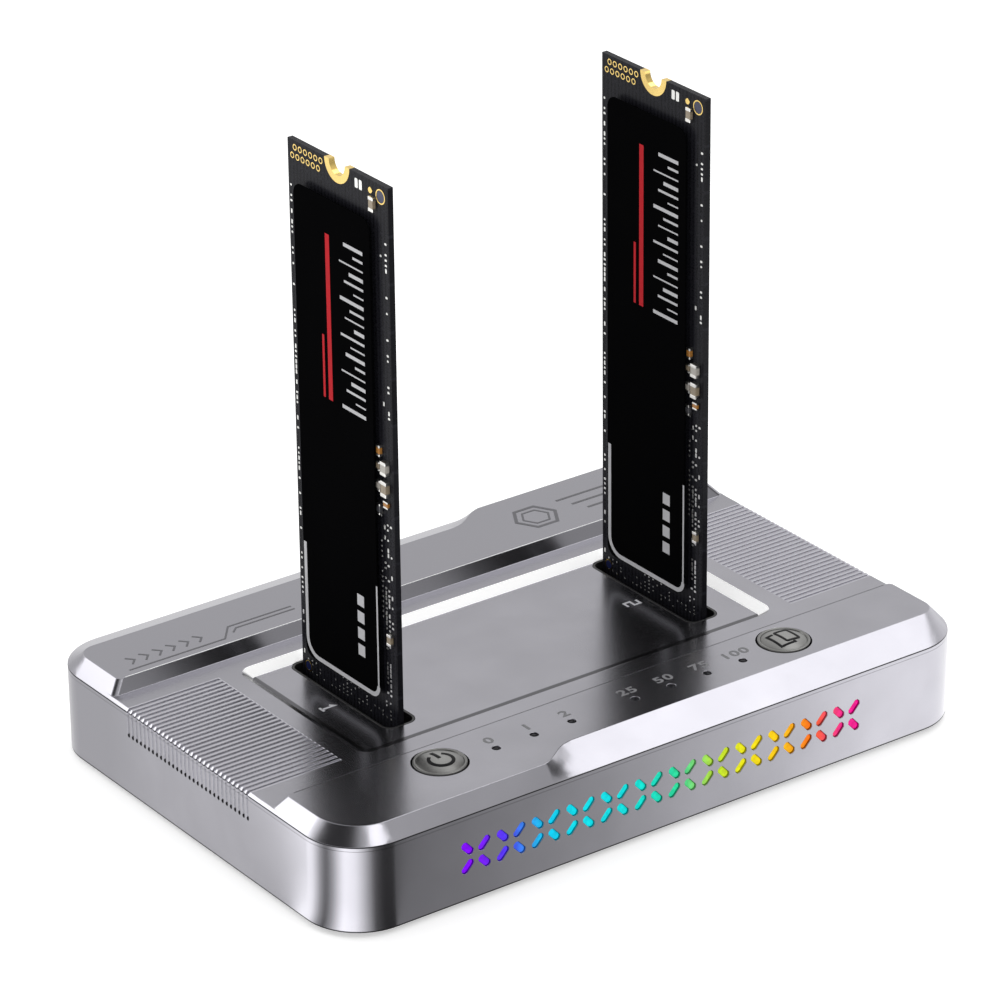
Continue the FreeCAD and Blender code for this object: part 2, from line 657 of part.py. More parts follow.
def bevelled_block(x, y, size, bevels):
    """A block on the board. bevels are its corners' bevels, counter-clockwise from the front left."""
    length, depth, height = size
    points = []
    corners = [(-1, -1), (1, -1), (1, 1), (-1, 1)]
    for (sx, sy), bevel in zip(corners, bevels):
        cx, cy = x + sx * length / 2, y + sy * depth / 2
        pair = [(cx, cy - sy * bevel), (cx - sx * bevel, cy)]
        if sx * sy < 0:
            pair.reverse()
        points += pair if bevel else [(cx, cy)]
    ring = [Vector(px, py, Z_BOARD_TOP) for px, py in points]
    return Part.Face(Part.makePolygon(ring + ring[:1])).extrude(Vector(0, 0, height))


def chip_with_mark(x, y, size):
    """A flat chip whose first corner is bevelled."""
    return bevelled_block(x, y, size, (CHIP_MARK * min(size[:2]), 0, 0, 0))


def bridge_chips():
    chips = []
    for side, toward in (("source", 1), ("target", -1)):
        x = SLOT_X[side] + toward * BRIDGE_CHIP_FROM_SLOT
        chips.append(chip_with_mark(x, SLOT_Y, BRIDGE_CHIP_SIZE))
    return Part.makeCompound(chips)


def control_chips():
    control = chip_with_mark(SLOT_PAIR_OFFSET_X, CONTROL_CHIP_Y, CONTROL_CHIP_SIZE)
    reach = CONTROL_CHIP_SIZE[0] / 2 + MEMORY_CHIP_GAP + MEMORY_CHIP_SIZE[0] / 2
    memory = chip_with_mark(SLOT_PAIR_OFFSET_X + reach, CONTROL_CHIP_Y, MEMORY_CHIP_SIZE)
    return Part.makeCompound([control, memory])


def power_inductors():
    y = BACK_Y - INDUCTOR_FROM_BACK
    bevels = (INDUCTOR_CORNER_BEVEL,) * 4
    return Part.makeCompound([bevelled_block(SLOT_PAIR_OFFSET_X + number * INDUCTOR_PITCH, y,
                                             INDUCTOR_SIZE, bevels) for number in (-1, 0, 1)])


def capacitors():
    y = BACK_Y - CAPACITOR_FROM_BACK
    return Part.makeCompound([block_on(JACK_X + side * CAPACITOR_OFFSET_X, y, Z_BOARD_TOP, CAPACITOR_SIZE)
                              for side in (-1, 1)])


def board_header():
    """The plug between the main board and the upright lamp board, with its pins."""
    length, depth, height = HEADER_SIZE
    y0 = BOARD_FRONT_Y
    solid = box(HEADER_X - length / 2, HEADER_X + length / 2, y0, y0 + depth,
                Z_BOARD_TOP, Z_BOARD_TOP + height)
    pins = []
    half = HEADER_PIN_WIDTH / 2
    z = Z_BOARD_TOP + height / 2
    first = HEADER_X - HEADER_PIN_PITCH * (HEADER_PIN_COUNT - 1) / 2
    for number in range(HEADER_PIN_COUNT):
        x = first + number * HEADER_PIN_PITCH
        pins.append(box(x - half, x + half, LAMP_BOARD_BACK_Y, y0 + depth / 2, z - half, z + half))
    return solid.fuse(pins).removeSplitter()


def status_lamps():
    lamps = [block_on(x, STATUS_Y, Z_BOARD_TOP, STATUS_LAMP_SIZE) for x in status_lamp_places()]
    return Part.makeCompound(lamps)


def status_light_pipe():
    """A clear rail under the ceiling, with a pin up into every status hole."""
    places = status_lamp_places()
    z0 = Z_CEILING - PIPE_RAIL_THICKNESS
    rail = box(places[0] - PIPE_RAIL_END, places[-1] + PIPE_RAIL_END, STATUS_Y - PIPE_RAIL_WIDTH / 2,
               STATUS_Y + PIPE_RAIL_WIDTH / 2, z0, Z_CEILING)
    diameter = STATUS_HOLE_DIAMETER - 2 * PIPE_CLEARANCE
    pins = [small_pin(x, STATUS_Y, Z_CEILING, Z_TOP - PIPE_SET_BACK, diameter) for x in places]
    return rail.fuse(pins).removeSplitter()


# Light bar in the front wall


def light_bar():
    """The diffuser: it fills the window from behind, and its hooked ends hold the lamp board."""
    x0, x1, z0, z1 = light_row()
    gap = LIGHT_BAR_CLEARANCE
    front = box(x0 + gap, x1 - gap, FRONT_Y + WINDOW_THICKNESS, INNER_FRONT_Y, z0 + gap, z1 - gap)
    end = x1 + LIGHT_BAR_END_LENGTH
    pieces = [box(x0 - LIGHT_BAR_END_LENGTH, end, INNER_FRONT_Y, LIGHT_BAR_BACK_Y, z0, z1)]
    wall = end - LIGHT_BAR_HOOK_WIDTH
    hook_back_y = LAMP_BOARD_BACK_Y + LIGHT_BAR_HOOK_THICKNESS
    hook = box(wall, end, INNER_FRONT_Y, hook_back_y, z0, z1).fuse([
        box(wall - LIGHT_BAR_SEAT_WIDTH, end, INNER_FRONT_Y, LAMP_BOARD_FRONT_Y, z0, z1),
        box(wall - LIGHT_BAR_HOOK_REACH, end, LAMP_BOARD_BACK_Y, hook_back_y, z0, z1),
    ])
    pieces.append(hook)
    pieces.append(hook.mirror(Vector((x0 + x1) / 2, 0, 0), Vector(1, 0, 0)))
    return front.fuse(pieces).removeSplitter()


def light_board():
    x0, x1, z0, z1 = light_row()
    reach = LIGHT_BAR_END_LENGTH - LIGHT_BAR_HOOK_WIDTH
    return box(x0 - reach, x1 + reach, LAMP_BOARD_FRONT_Y, LAMP_BOARD_BACK_Y, z0, z1)


def light_lamps():
    length, depth, height = LAMP_SIZE
    lamps = []
    for x in cross_centres():
        lamps.append(box(x - length / 2, x + length / 2, LAMP_BOARD_FRONT_Y - depth, LAMP_BOARD_FRONT_Y,
                         Z_CROSS - height / 2, Z_CROSS + height / 2))
    return Part.makeCompound(lamps)


# Push buttons and their switches


def push_button(name):
    """A cap with a rim and a low dome, a bar that keeps it in and square, and a stem."""
    cap = BUTTON_DIAMETER / 2
    rim = cap - BUTTON_RIM_WIDTH
    bar_top = Z_TOP - BUTTON_COVER_THICKNESS - BUTTON_REST_GAP
    bar_foot = bar_top - BUTTON_FLANGE_THICKNESS
    rim_top = Z_TOP + BUTTON_RIM_HEIGHT
    dome_top = rim_top + BUTTON_DOME_RISE
    x = BUTTON_X[name]
    solid = turned([(0, bar_foot), (cap, bar_foot), (cap, rim_top), (rim, rim_top),
                    (BUTTON_DOME_TOP_DIAMETER / 2, dome_top), (0, dome_top)], x, BUTTON_Y)
    bar = block_along(x, BUTTON_Y, bar_foot, bar_top, BUTTON_DIAMETER + 2 * BUTTON_FLANGE_REACH,
                      BUTTON_FLANGE_WIDTH)
    plunger_top = Z_BOARD_TOP + SWITCH_SIZE[2] + PLUNGER_PROUD
    stem = block_along(x, BUTTON_Y, plunger_top, bar_foot, BUTTON_STEM_WIDTH, BUTTON_STEM_WIDTH)
    return solid.fuse([bar, stem]).removeSplitter()


def switch_body(name):
    x = BUTTON_X[name]
    top = Z_BOARD_TOP + SWITCH_SIZE[2]
    bore_foot = top - PLUNGER_DEPTH - BUTTON_TRAVEL - PLUNGER_CLEARANCE
    bore = PLUNGER_WIDTH + 2 * PLUNGER_CLEARANCE
    body = block_on(x, BUTTON_Y, Z_BOARD_TOP, SWITCH_SIZE)
    return body.cut(block_along(x, BUTTON_Y, bore_foot, top, bore, bore))


def switch_plunger(name):
    top = Z_BOARD_TOP + SWITCH_SIZE[2]
    return block_along(BUTTON_X[name], BUTTON_Y, top - PLUNGER_DEPTH, top + PLUNGER_PROUD,
                       PLUNGER_WIDTH, PLUNGER_WIDTH)


# Card sockets


def finger_places(face):
    """Places of the contacts across the card: one face is half a pitch from the other."""
    count = FINGER_POSITIONS // 2 + (1 if face < 0 else 0)
    first = -FINGER_PITCH * (count - 1) / 2
    keep = (KEY_NOTCH_WIDTH + FINGER_WIDTH) / 2 + FINGER_NOTCH_GAP
    places = [first + number * FINGER_PITCH for number in range(count)]
    return [place for place in places if abs(place - KEY_NOTCH_OFFSET) > keep]


def card_socket(side):
    x, y = SLOT_X[side], SLOT_Y
    body = block_on(x, y, Z_BOARD_TOP, (SOCKET_WIDTH, SOCKET_LENGTH, Z_SOCKET_TOP - Z_BOARD_TOP))
    half_gap = CARD_THICKNESS / 2 + CARD_FACE_CLEARANCE
    half_length = TONGUE_WIDTH / 2 + CARD_END_CLEARANCE
    floor = Z_CARD - CARD_FLOOR_CLEARANCE
    way = box(x - half_gap, x + half_gap, y - half_length, y + half_length, floor, Z_SOCKET_TOP)
    half_key = KEY_NOTCH_WIDTH / 2 - KEY_CLEARANCE
    key_y = y + KEY_NOTCH_OFFSET
    key_top = Z_CARD + KEY_NOTCH_HEIGHT - KEY_NOTCH_WIDTH / 2 - KEY_CLEARANCE
    key = box(x - half_gap, x + half_gap, key_y - half_key, key_y + half_key, floor, key_top)
    return body.cut(way).fuse(key).removeSplitter()


def socket_contacts(side):
    """The two rows of spring contacts, each row as one strip on either side of the key."""
    x, y = SLOT_X[side], SLOT_Y
    wall = CARD_THICKNESS / 2 + CARD_FACE_CLEARANCE
    z0 = Z_CARD + FINGER_EDGE_GAP
    strips = []
    for face in (-1, 1):
        near, far = sorted((face * wall, face * (wall - SOCKET_CONTACT_REACH)))
        places = finger_places(face)
        before = [place for place in places if place < KEY_NOTCH_OFFSET]
        after = [place for place in places if place > KEY_NOTCH_OFFSET]
        for row in (before, after):
            y0, y1 = y + row[0] - FINGER_WIDTH / 2, y + row[-1] + FINGER_WIDTH / 2
            strips.append(box(x + near, x + far, y0, y1, z0, z0 + SOCKET_CONTACT_HEIGHT))
    return Part.makeCompound(strips)


# Drive cards. Each stands on edge in its slot with its label towards -X.


def card_shape_along_x(points, x0, x1, side):
    """A plate across the card between x0 and x1, from (place across, height) points."""
    corners = [(SLOT_Y + across, Z_CARD + height) for across, height in points]
    return profile_along_x(corners, SLOT_X[side] + x0, SLOT_X[side] + x1)


def drive_board(side):
    half, tongue = CARD_WIDTH / 2, TONGUE_WIDTH / 2
    board = card_shape_along_x([
        (-tongue, 0), (tongue, 0), (tongue, TONGUE_HEIGHT), (half, TONGUE_HEIGHT),
        (half, CARD_LENGTH), (-half, CARD_LENGTH), (-half, TONGUE_HEIGHT), (-tongue, TONGUE_HEIGHT),
    ], -CARD_THICKNESS / 2, CARD_THICKNESS / 2, side)
    x0 = SLOT_X[side] - CARD_THICKNESS / 2
    end_notch = Part.makeCylinder(END_NOTCH_RADIUS + END_RING_WIDTH, CARD_THICKNESS,
                                  Vector(x0, SLOT_Y, Z_CARD + CARD_LENGTH), Vector(1, 0, 0))
    key_y = SLOT_Y + KEY_NOTCH_OFFSET
    key_radius = KEY_NOTCH_WIDTH / 2
    key_z = Z_CARD + KEY_NOTCH_HEIGHT - key_radius
    key_round = Part.makeCylinder(key_radius, CARD_THICKNESS, Vector(x0, key_y, key_z), Vector(1, 0, 0))
    key_slot = box(x0, x0 + CARD_THICKNESS, key_y - key_radius, key_y + key_radius, Z_CARD, key_z)
    return board.cut([end_notch, key_round.fuse(key_slot)])


def drive_contacts(side):
    x = SLOT_X[side]
    fingers = []
    for face in (-1, 1):
        for place in finger_places(face):
            near = face * CARD_THICKNESS / 2
            low, high = sorted((near, near + face * PLATING_THICKNESS))
            y = SLOT_Y + place
            z = Z_CARD + FINGER_EDGE_GAP
            fingers.append(box(x + low, x + high, y - FINGER_WIDTH / 2, y + FINGER_WIDTH / 2,
                               z, z + FINGER_HEIGHT))
    return Part.makeCompound(fingers)


def drive_end_ring(side):
    """The plated half ring of the screw notch, let into the board's upper edge."""
    z = Z_CARD + CARD_LENGTH
    x0 = SLOT_X[side] - CARD_THICKNESS / 2 - PLATING_THICKNESS
    depth = CARD_THICKNESS + 2 * PLATING_THICKNESS
    centre = Vector(x0, SLOT_Y, z)
    outer = Part.makeCylinder(END_NOTCH_RADIUS + END_RING_WIDTH, depth, centre, Vector(1, 0, 0))
    inner = Part.makeCylinder(END_NOTCH_RADIUS, depth, centre, Vector(1, 0, 0))
    above = box(x0, x0 + depth, SLOT_Y - CARD_WIDTH, SLOT_Y + CARD_WIDTH, z, z + CARD_WIDTH)
    return outer.cut([inner, above])


def drive_chips(side):
    """From the bottom: two memory chips, the controller and the cache, in one column."""
    chips = []
    x0 = -CARD_THICKNESS / 2 - CHIP_HEIGHT
    height = LABEL_BOTTOM + CHIP_GAP
    for length in (MEMORY_HEIGHT, MEMORY_HEIGHT, CONTROLLER_HEIGHT, CACHE_HEIGHT):
        y0 = LABEL_OFFSET - CHIP_WIDTH / 2
        y1 = LABEL_OFFSET + CHIP_WIDTH / 2
        chips.append(card_shape_along_x([(y0, height), (y1, height), (y1, height + length),
                                         (y0, height + length)], x0, -CARD_THICKNESS / 2, side))
        height += length + CHIP_GAP
    return Part.makeCompound(chips)


def drive_label(side):
    y0, y1 = LABEL_OFFSET - LABEL_WIDTH / 2, LABEL_OFFSET + LABEL_WIDTH / 2
    plate = rounded_block(0, LABEL_HEIGHT, y0, y1, 0, LABEL_THICKNESS, LABEL_CORNER_RADIUS)
    plate.rotate(Vector(0, 0, 0), Vector(0, 1, 0), -90)
    face_x = SLOT_X[side] - CARD_THICKNESS / 2 - CHIP_HEIGHT
    plate.translate(Vector(face_x, SLOT_Y, Z_CARD + LABEL_BOTTOM))
    return plate


def drive_small_parts(side):
    """Capacitors and small chips along the free front strip of the card and at its top."""
    parts = []
    x0 = -CARD_THICKNESS / 2
    for across, height, width, length, rise in CARD_SMALL_PARTS:
        corners = [(across, height), (across + width, height), (across + width, height + length),
                   (across, height + length)]
        parts.append(card_shape_along_x(corners, x0 - rise, x0, side))
    return Part.makeCompound(parts)


# Ports


def usb_port_shell():
    y1 = BACK_Y - USB_SET_BACK
    y0 = y1 - USB_SIZE[1]
    outer = usb_profile(y0, y1, 0.0)
    return outer.cut(usb_profile(y0, y1, -USB_SHELL_WALL))


def usb_port_tongue():
    y1 = BACK_Y - USB_SET_BACK
    y0 = y1 - USB_SIZE[1]
    width, depth, height = USB_TONGUE
    half_height = USB_SIZE[2] / 2 - USB_SHELL_WALL
    half_width = (USB_SIZE[0] - USB_SIZE[2]) / 2
    base = box(USB_X - half_width, USB_X + half_width, y0, y0 + USB_BASE_DEPTH,
               Z_USB - half_height, Z_USB + half_height)
    tongue = box(USB_X - width / 2, USB_X + width / 2, y0, y0 + USB_BASE_DEPTH + depth,
                 Z_USB - height / 2, Z_USB + height / 2)
    return base.fuse(tongue).removeSplitter()


def power_jack():
    """A round power socket that is let into a notch of the board and rests on it with two ears."""
    width, depth, height = JACK_SIZE
    y0 = INNER_BACK_Y - depth
    body = box(JACK_X - width / 2, JACK_X + width / 2, y0, INNER_BACK_Y,
               Z_JACK - height / 2, Z_JACK + height / 2)
    nose = pin_along_y(JACK_X, Z_JACK, y0, BACK_Y - JACK_CLEARANCE, JACK_NOSE_DIAMETER)
    half = width / 2 + JACK_EAR_WIDTH
    ears = box(JACK_X - half, JACK_X + half, y0, BOARD_BACK_Y, Z_BOARD_TOP,
               Z_BOARD_TOP + JACK_EAR_THICKNESS)
    bore = pin_along_y(JACK_X, Z_JACK, BACK_Y - JACK_CLEARANCE - JACK_BORE_DEPTH, BACK_Y,
                       JACK_BORE_DIAMETER)
    return body.fuse([nose, ears]).removeSplitter().cut(bore)


def power_jack_pin():
    y0 = BACK_Y - JACK_CLEARANCE - JACK_BORE_DEPTH
    return pin_along_y(JACK_X, Z_JACK, y0, BACK_Y - JACK_CLEARANCE - JACK_PIN_SET_BACK,
                       JACK_PIN_DIAMETER)


def all_parts():
    parts = {
        "upper_housing": upper_housing(),
        "slot_guides": slot_guides(),
        "base_plate": base_plate(),
        "base_screws": base_screws(),
        "rubber_feet": rubber_feet(),
        "main_board": main_board(),
        "bridge_chips": bridge_chips(),
        "control_chips": control_chips(),
        "power_inductors": power_inductors(),
        "capacitors": capacitors(),
        "board_header": board_header(),
        "status_lamps": status_lamps(),
        "status_light_pipe": status_light_pipe(),
        "light_bar": light_bar(),
        "light_board": light_board(),
        "light_lamps": light_lamps(),
        "usb_port_shell": usb_port_shell(),
        "usb_port_tongue": usb_port_tongue(),
        "power_jack": power_jack(),
        "power_jack_pin": power_jack_pin(),
    }
    for name in BUTTON_X:
        parts[name + "_button"] = push_button(name)
        parts[name + "_switch"] = switch_body(name)
        parts[name + "_switch_plunger"] = switch_plunger(name)
    for side in SLOT_X:
        parts[side + "_socket"] = card_socket(side)
        parts[side + "_socket_contacts"] = socket_contacts(side)
        parts[side + "_drive_board"] = drive_board(side)
        parts[side + "_drive_contacts"] = drive_contacts(side)
        parts[side + "_drive_end_ring"] = drive_end_ring(side)
        parts[side + "_drive_chips"] = drive_chips(side)
        parts[side + "_drive_label"] = drive_label(side)
        parts[side + "_drive_small_parts"] = drive_small_parts(side)
    return parts


def main():
    os.makedirs("parts", exist_ok=True)
    for name, shape in all_parts().items():
        shape.exportStep("parts/" + name + ".step")


main()
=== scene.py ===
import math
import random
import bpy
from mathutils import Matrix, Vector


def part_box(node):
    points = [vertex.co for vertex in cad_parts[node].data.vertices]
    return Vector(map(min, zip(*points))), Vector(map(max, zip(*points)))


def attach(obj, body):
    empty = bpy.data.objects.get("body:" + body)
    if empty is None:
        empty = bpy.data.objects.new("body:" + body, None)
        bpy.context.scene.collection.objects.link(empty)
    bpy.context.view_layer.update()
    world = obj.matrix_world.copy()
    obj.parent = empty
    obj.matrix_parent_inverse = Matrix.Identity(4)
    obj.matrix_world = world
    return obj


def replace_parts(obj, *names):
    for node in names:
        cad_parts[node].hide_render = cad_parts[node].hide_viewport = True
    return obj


bl_info = {
    "name": "Drive duplicator",
    "version": (1, 0, 0),
    "blender": (4, 5, 0),
    "location": "View3D > Sidebar > Duplicator",
    "description": "Finishes and fine pieces for a metal drive duplicator with two upright cards",
    "category": "Object",
}

import bmesh
import bpy
from bpy.props import FloatProperty, FloatVectorProperty, PointerProperty
from mathutils import Matrix, Vector

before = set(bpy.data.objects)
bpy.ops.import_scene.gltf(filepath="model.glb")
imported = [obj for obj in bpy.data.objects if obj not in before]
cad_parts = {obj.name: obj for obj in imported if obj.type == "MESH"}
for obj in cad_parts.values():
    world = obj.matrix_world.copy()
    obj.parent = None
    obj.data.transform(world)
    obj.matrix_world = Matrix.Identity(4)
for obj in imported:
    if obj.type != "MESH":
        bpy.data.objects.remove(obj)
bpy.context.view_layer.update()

# Lengths below are in millimetres, and MM turns them into metres
MM = 0.001
SIDES = ("source", "target")
KEYS = ("power", "clone")


def corners(node):
    """The lowest and highest corner of a CAD node, in millimetres."""
    low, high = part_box(node)
    return low / MM, high / MM


HOUSING_LOW, HOUSING_HIGH = corners("upper_housing")
TOP = HOUSING_HIGH.z
FRONT = HOUSING_LOW.y
SIDE = HOUSING_HIGH.x
CORNER_RADIUS = 8.0
CROWN_HEIGHT = 2.05
CHANNEL_DEPTH = 1.66
RECESS_DEPTH = 1.0
WALL_TOP = TOP - CROWN_HEIGHT
MIDDLE = TOP - CHANNEL_DEPTH
RECESS = MIDDLE - RECESS_DEPTH

# The status lamps with their numbers, and the middles of the coloured crosses
STATUS_Y = FRONT + 9.05
STATE_LAMPS = [(-20.9 + 6.0 * n, str(n)) for n in range(3)]
PROGRESS_LAMPS = [(1.3 + 5.93 * n, str(25 * (n + 1))) for n in range(4)]
CROSS_CENTRES = [-0.68 + 5.464 * (n - 5.5) for n in range(12)]
CROSS_Z = HOUSING_LOW.z + 6.1

# The channel's edges, the recess and the ribs
STRIP_EDGE = FRONT + 14.9
BAR_EDGE = HOUSING_HIGH.y - 15.4
RECESS_MIDDLE_Y = 0.25
RECESS_REACH = (33.8, 14.65)
RECESS_RUN = 1.5
RIB_INNER_X = SIDE - 14.3
RIBS = 30
RIB_PITCH = 0.96
RIB_FIRST_Y = RECESS_MIDDLE_Y - RIB_PITCH * (RIBS - 1) / 2
RIB_FOOT = WALL_TOP - 3.5


# Sizes and finishes that a user would change


class DUPLICATOR_PG_finishes(bpy.types.PropertyGroup):
    aluminium: FloatVectorProperty(
        name="Aluminium", description="Colour of the blasted housing",
        subtype="COLOR", default=(0.345, 0.34, 0.37), min=0, max=1)
    button: FloatVectorProperty(
        name="Button", description="Colour of the button caps",
        subtype="COLOR", default=(0.215, 0.214, 0.208), min=0, max=1)
    ink: FloatVectorProperty(
        name="Ink", description="Colour of the printed numbers",
        subtype="COLOR", default=(0.23, 0.23, 0.24), min=0, max=1)
    card: FloatVectorProperty(
        name="Card", description="Colour of the cards' solder mask",
        subtype="COLOR", default=(0.007, 0.007, 0.009), min=0, max=1)
    label: FloatVectorProperty(
        name="Label", description="Colour of the film on the cards",
        subtype="COLOR", default=(0.0028, 0.0028, 0.0031), min=0, max=1)
    silver_print: FloatVectorProperty(
        name="Silver print", description="Colour of the light lines on the cards' labels",
        subtype="COLOR", default=(0.66, 0.66, 0.68), min=0, max=1)
    red_print: FloatVectorProperty(
        name="Red print", description="Colour of the red bar on the cards' labels",
        subtype="COLOR", default=(0.62, 0.02, 0.03), min=0, max=1)
    gold: FloatVectorProperty(
        name="Gold", description="Colour of the plated contacts and rings",
        subtype="COLOR", default=(0.83, 0.60, 0.20), min=0, max=1)
    lamp_glow: FloatProperty(
        name="Lamp glow", description="Strength of the light of the coloured strokes",
        default=0.62, min=0, max=10)


class DUPLICATOR_PG_sizes(bpy.types.PropertyGroup):
    edge_round: FloatProperty(
        name="Edge rounding", description="Radius on the housing's machined edges",
        default=0.065 * MM, min=0, unit="LENGTH", precision=5)
    print_rise: FloatProperty(
        name="Print rise", description="Thickness of printed marks",
        default=0.02 * MM, min=0, unit="LENGTH", precision=5)
    number_height: FloatProperty(
        name="Number height", description="Height of the numbers beside the status lamps",
        default=1.45 * MM, min=0, unit="LENGTH", precision=5)
    lug_depth: FloatProperty(
        name="Stroke depth", description="How far the coloured strokes lie behind the front wall",
        default=0.24 * MM, min=0, unit="LENGTH", precision=5)


class DUPLICATOR_PG_stage(bpy.types.PropertyGroup):
    camera_place: FloatVectorProperty(
        name="Camera place", description="Where the camera stands",
        subtype="TRANSLATION", unit="LENGTH", default=(-0.35606, -0.48961, 0.32276))
    heading: FloatProperty(
        name="Heading", description="Turn of the view to the right of the depth axis",
        subtype="ANGLE", default=0.6270025)
    tilt: FloatProperty(
        name="Tilt", description="Turn of the view below the horizon",
        subtype="ANGLE", default=0.4449640)
    roll: FloatProperty(
        name="Roll", description="Turn of the view about its own axis",
        subtype="ANGLE", default=-0.0109713)
    lens: FloatProperty(
        name="Lens", description="Focal length of the camera in millimetres",
        default=184.1734, min=1)
    key_power: FloatProperty(
        name="Top light", description="Power of the wide light above the right side, in watts",
        default=0.92, min=0)
    fill_power: FloatProperty(
        name="Side light", description="Power of the light behind on the left, in watts",
        default=0.9, min=0)
    front_power: FloatProperty(
        name="Front light", description="Power of the small light above the front, in watts",
        default=0.5, min=0)
    edge_power: FloatProperty(
        name="Edge light", description="Power of the small light close to the left edge, in watts",
        default=0.024, min=0)
    sky: FloatProperty(
        name="Room light", description="Strength of the even light of the room",
        default=0.7, min=0)
    front_tone: FloatProperty(
        name="Front tone", description="Brightness of the room in front of the object, where 1 is white",
        default=0.55, min=0, max=1)
    floor_tone: FloatProperty(
        name="Floor tone", description="Brightness of the floor in the metal's reflections",
        default=1.5, min=0)


# Working planes and mesh code


class Plane:
    """A flat place to work on: a point of it, and its directions right and up as one looks at it."""

    def __init__(self, origin, right, up):
        self.origin, self.right, self.up = Vector(origin), Vector(right), Vector(up)
        self.out = self.right.cross(self.up)

    def at(self, point, rise):
        u, v = point
        return (self.origin + self.right * u + self.up * v + self.out * rise) * MM


def level_plane(z, x=0.0, y=0.0):
    return Plane((x, y, z), (1, 0, 0), (0, 1, 0))


def card_plane(side, x):
    """The side of a card that faces -X. Right is towards the front edge, and up is up the card."""
    low, high = corners(side + "_drive_board")
    return Plane((x, (low.y + high.y) / 2, low.z), (0, -1, 0), (0, 0, 1))


def circle(u, v, radius, steps, start=0.0, turn=2 * math.pi):
    closed = abs(turn - 2 * math.pi) < 1e-6
    count = steps if closed else steps + 1
    return [(u + radius * math.cos(start + turn * n / steps), v + radius * math.sin(start + turn * n / steps))
            for n in range(count)]


def rounded(u, v, width, height, radius, steps=5):
    """A rectangle with round corners, counter-clockwise."""
    points = []
    for su, sv, start in ((1, 1, 0), (-1, 1, 90), (-1, -1, 180), (1, -1, 270)):
        points += circle(u + su * (width / 2 - radius), v + sv * (height / 2 - radius), radius, steps,
                         math.radians(start), math.pi / 2)
    return points


def mitres(points, closed):
    """At each point of a line, the offset to its left that keeps a width of one on both runs."""
    found = []
    count = len(points)
    for n in range(count):
        here = Vector(points[n])
        runs = []
        if closed or n > 0:
            runs.append((here - Vector(points[n - 1])).normalized())
        if closed or n < count - 1:
            runs.append((Vector(points[(n + 1) % count]) - here).normalized())
        left = sum((Vector((-run.y, run.x)) for run in runs), Vector((0, 0)))
        left = left / len(runs)
        found.append(left / max(left.length_squared, 0.15))
    return found


def shrunk(outline, distance):
    shifts = mitres(outline, True)
    return [tuple(Vector(point) + shift * distance) for point, shift in zip(outline, shifts)]


def add_rings(mesh, rings):
    """Rows of points joined by faces, each row closed on itself, with a cap on the first and the last."""
    rows = [[mesh.verts.new(point) for point in ring] for ring in rings]
    for low, high in zip(rows, rows[1:]):
        count = len(low)
        for n in range(count):
            m = (n + 1) % count
            mesh.faces.new((low[n], low[m], high[m], high[n]))
    mesh.faces.new(rows[-1])
    mesh.faces.new(list(reversed(rows[0])))


def add_plate(mesh, plane, outline, low, high, bevel=0.0):
    """A plate on a plane, with a bevelled upper edge."""
    rings = [[plane.at(point, low) for point in outline]]
    if bevel:
        rings.append([plane.at(point, high - bevel) for point in outline])
        outline = shrunk(outline, bevel)
    rings.append([plane.at(point, high) for point in outline])
    add_rings(mesh, rings)


def finer(points, step, closed=False):
    """The same line with more points on its runs, so that it can follow a curved surface."""
    found = []
    ends = points[1:] + points[:1] if closed else points[1:]
    for here, there in zip(points, ends):
        count = max(int(math.dist(here, there) / step), 1)
        found += [tuple(Vector(here).lerp(Vector(there), n / count)) for n in range(count)]
    return found if closed else found + [points[-1]]


def add_band(mesh, place, points, width, thickness, closed=False):
    """A flat line of one width. place(point, rise) gives a point of the surface that it lies on."""
    shifts = mitres(points, closed)
    left = [tuple(Vector(p) + s * width / 2) for p, s in zip(points, shifts)]
    right = [tuple(Vector(p) - s * width / 2) for p, s in zip(points, shifts)]
    rows = [[mesh.verts.new(place(point, rise)) for point in side]
            for side, rise in ((left, 0.0), (left, thickness), (right, thickness), (right, 0.0))]
    count = len(points)
    for n in range(count if closed else count - 1):
        m = (n + 1) % count
        for low, high in zip(rows, rows[1:] + rows[:1]):
            mesh.faces.new((low[n], low[m], high[m], high[n]))
    if not closed:
        mesh.faces.new([row[0] for row in rows])
        mesh.faces.new([row[-1] for row in reversed(rows)])


def add_turned(mesh, x, y, profile, steps=64):
    """A turned piece on the upright axis through x and y, from (radius, z) points."""
    rings = []
    for radius, z in profile:
        rings.append([Vector((u, v, z)) * MM for u, v in circle(x, y, radius, steps)])
    add_rings(mesh, rings)


def make_piece(name, mesh, body, slot, *materials, smooth=None):
    """Turns mesh code into a piece that rides on a body. smooth is the sharpest soft edge in degrees."""
    bmesh.ops.recalc_face_normals(mesh, faces=mesh.faces)
    if smooth is not None:
        limit = math.radians(smooth)
        for face in mesh.faces:
            face.smooth = True
        for edge in mesh.edges:
            edge.smooth = len(edge.link_faces) == 2 and edge.calc_face_angle() < limit
    data = bpy.data.meshes.new(name)
    mesh.to_mesh(data)
    mesh.free()
    for material in materials:
        data.materials.append(material)
    piece = bpy.data.objects.new(name, data)
    bpy.context.scene.collection.objects.link(piece)
    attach(piece, body)
    return piece


# A digit's height as a share of the font size, and its stretch in width
DIGIT_SHARE = 0.69
DIGIT_STRETCH = 1.3


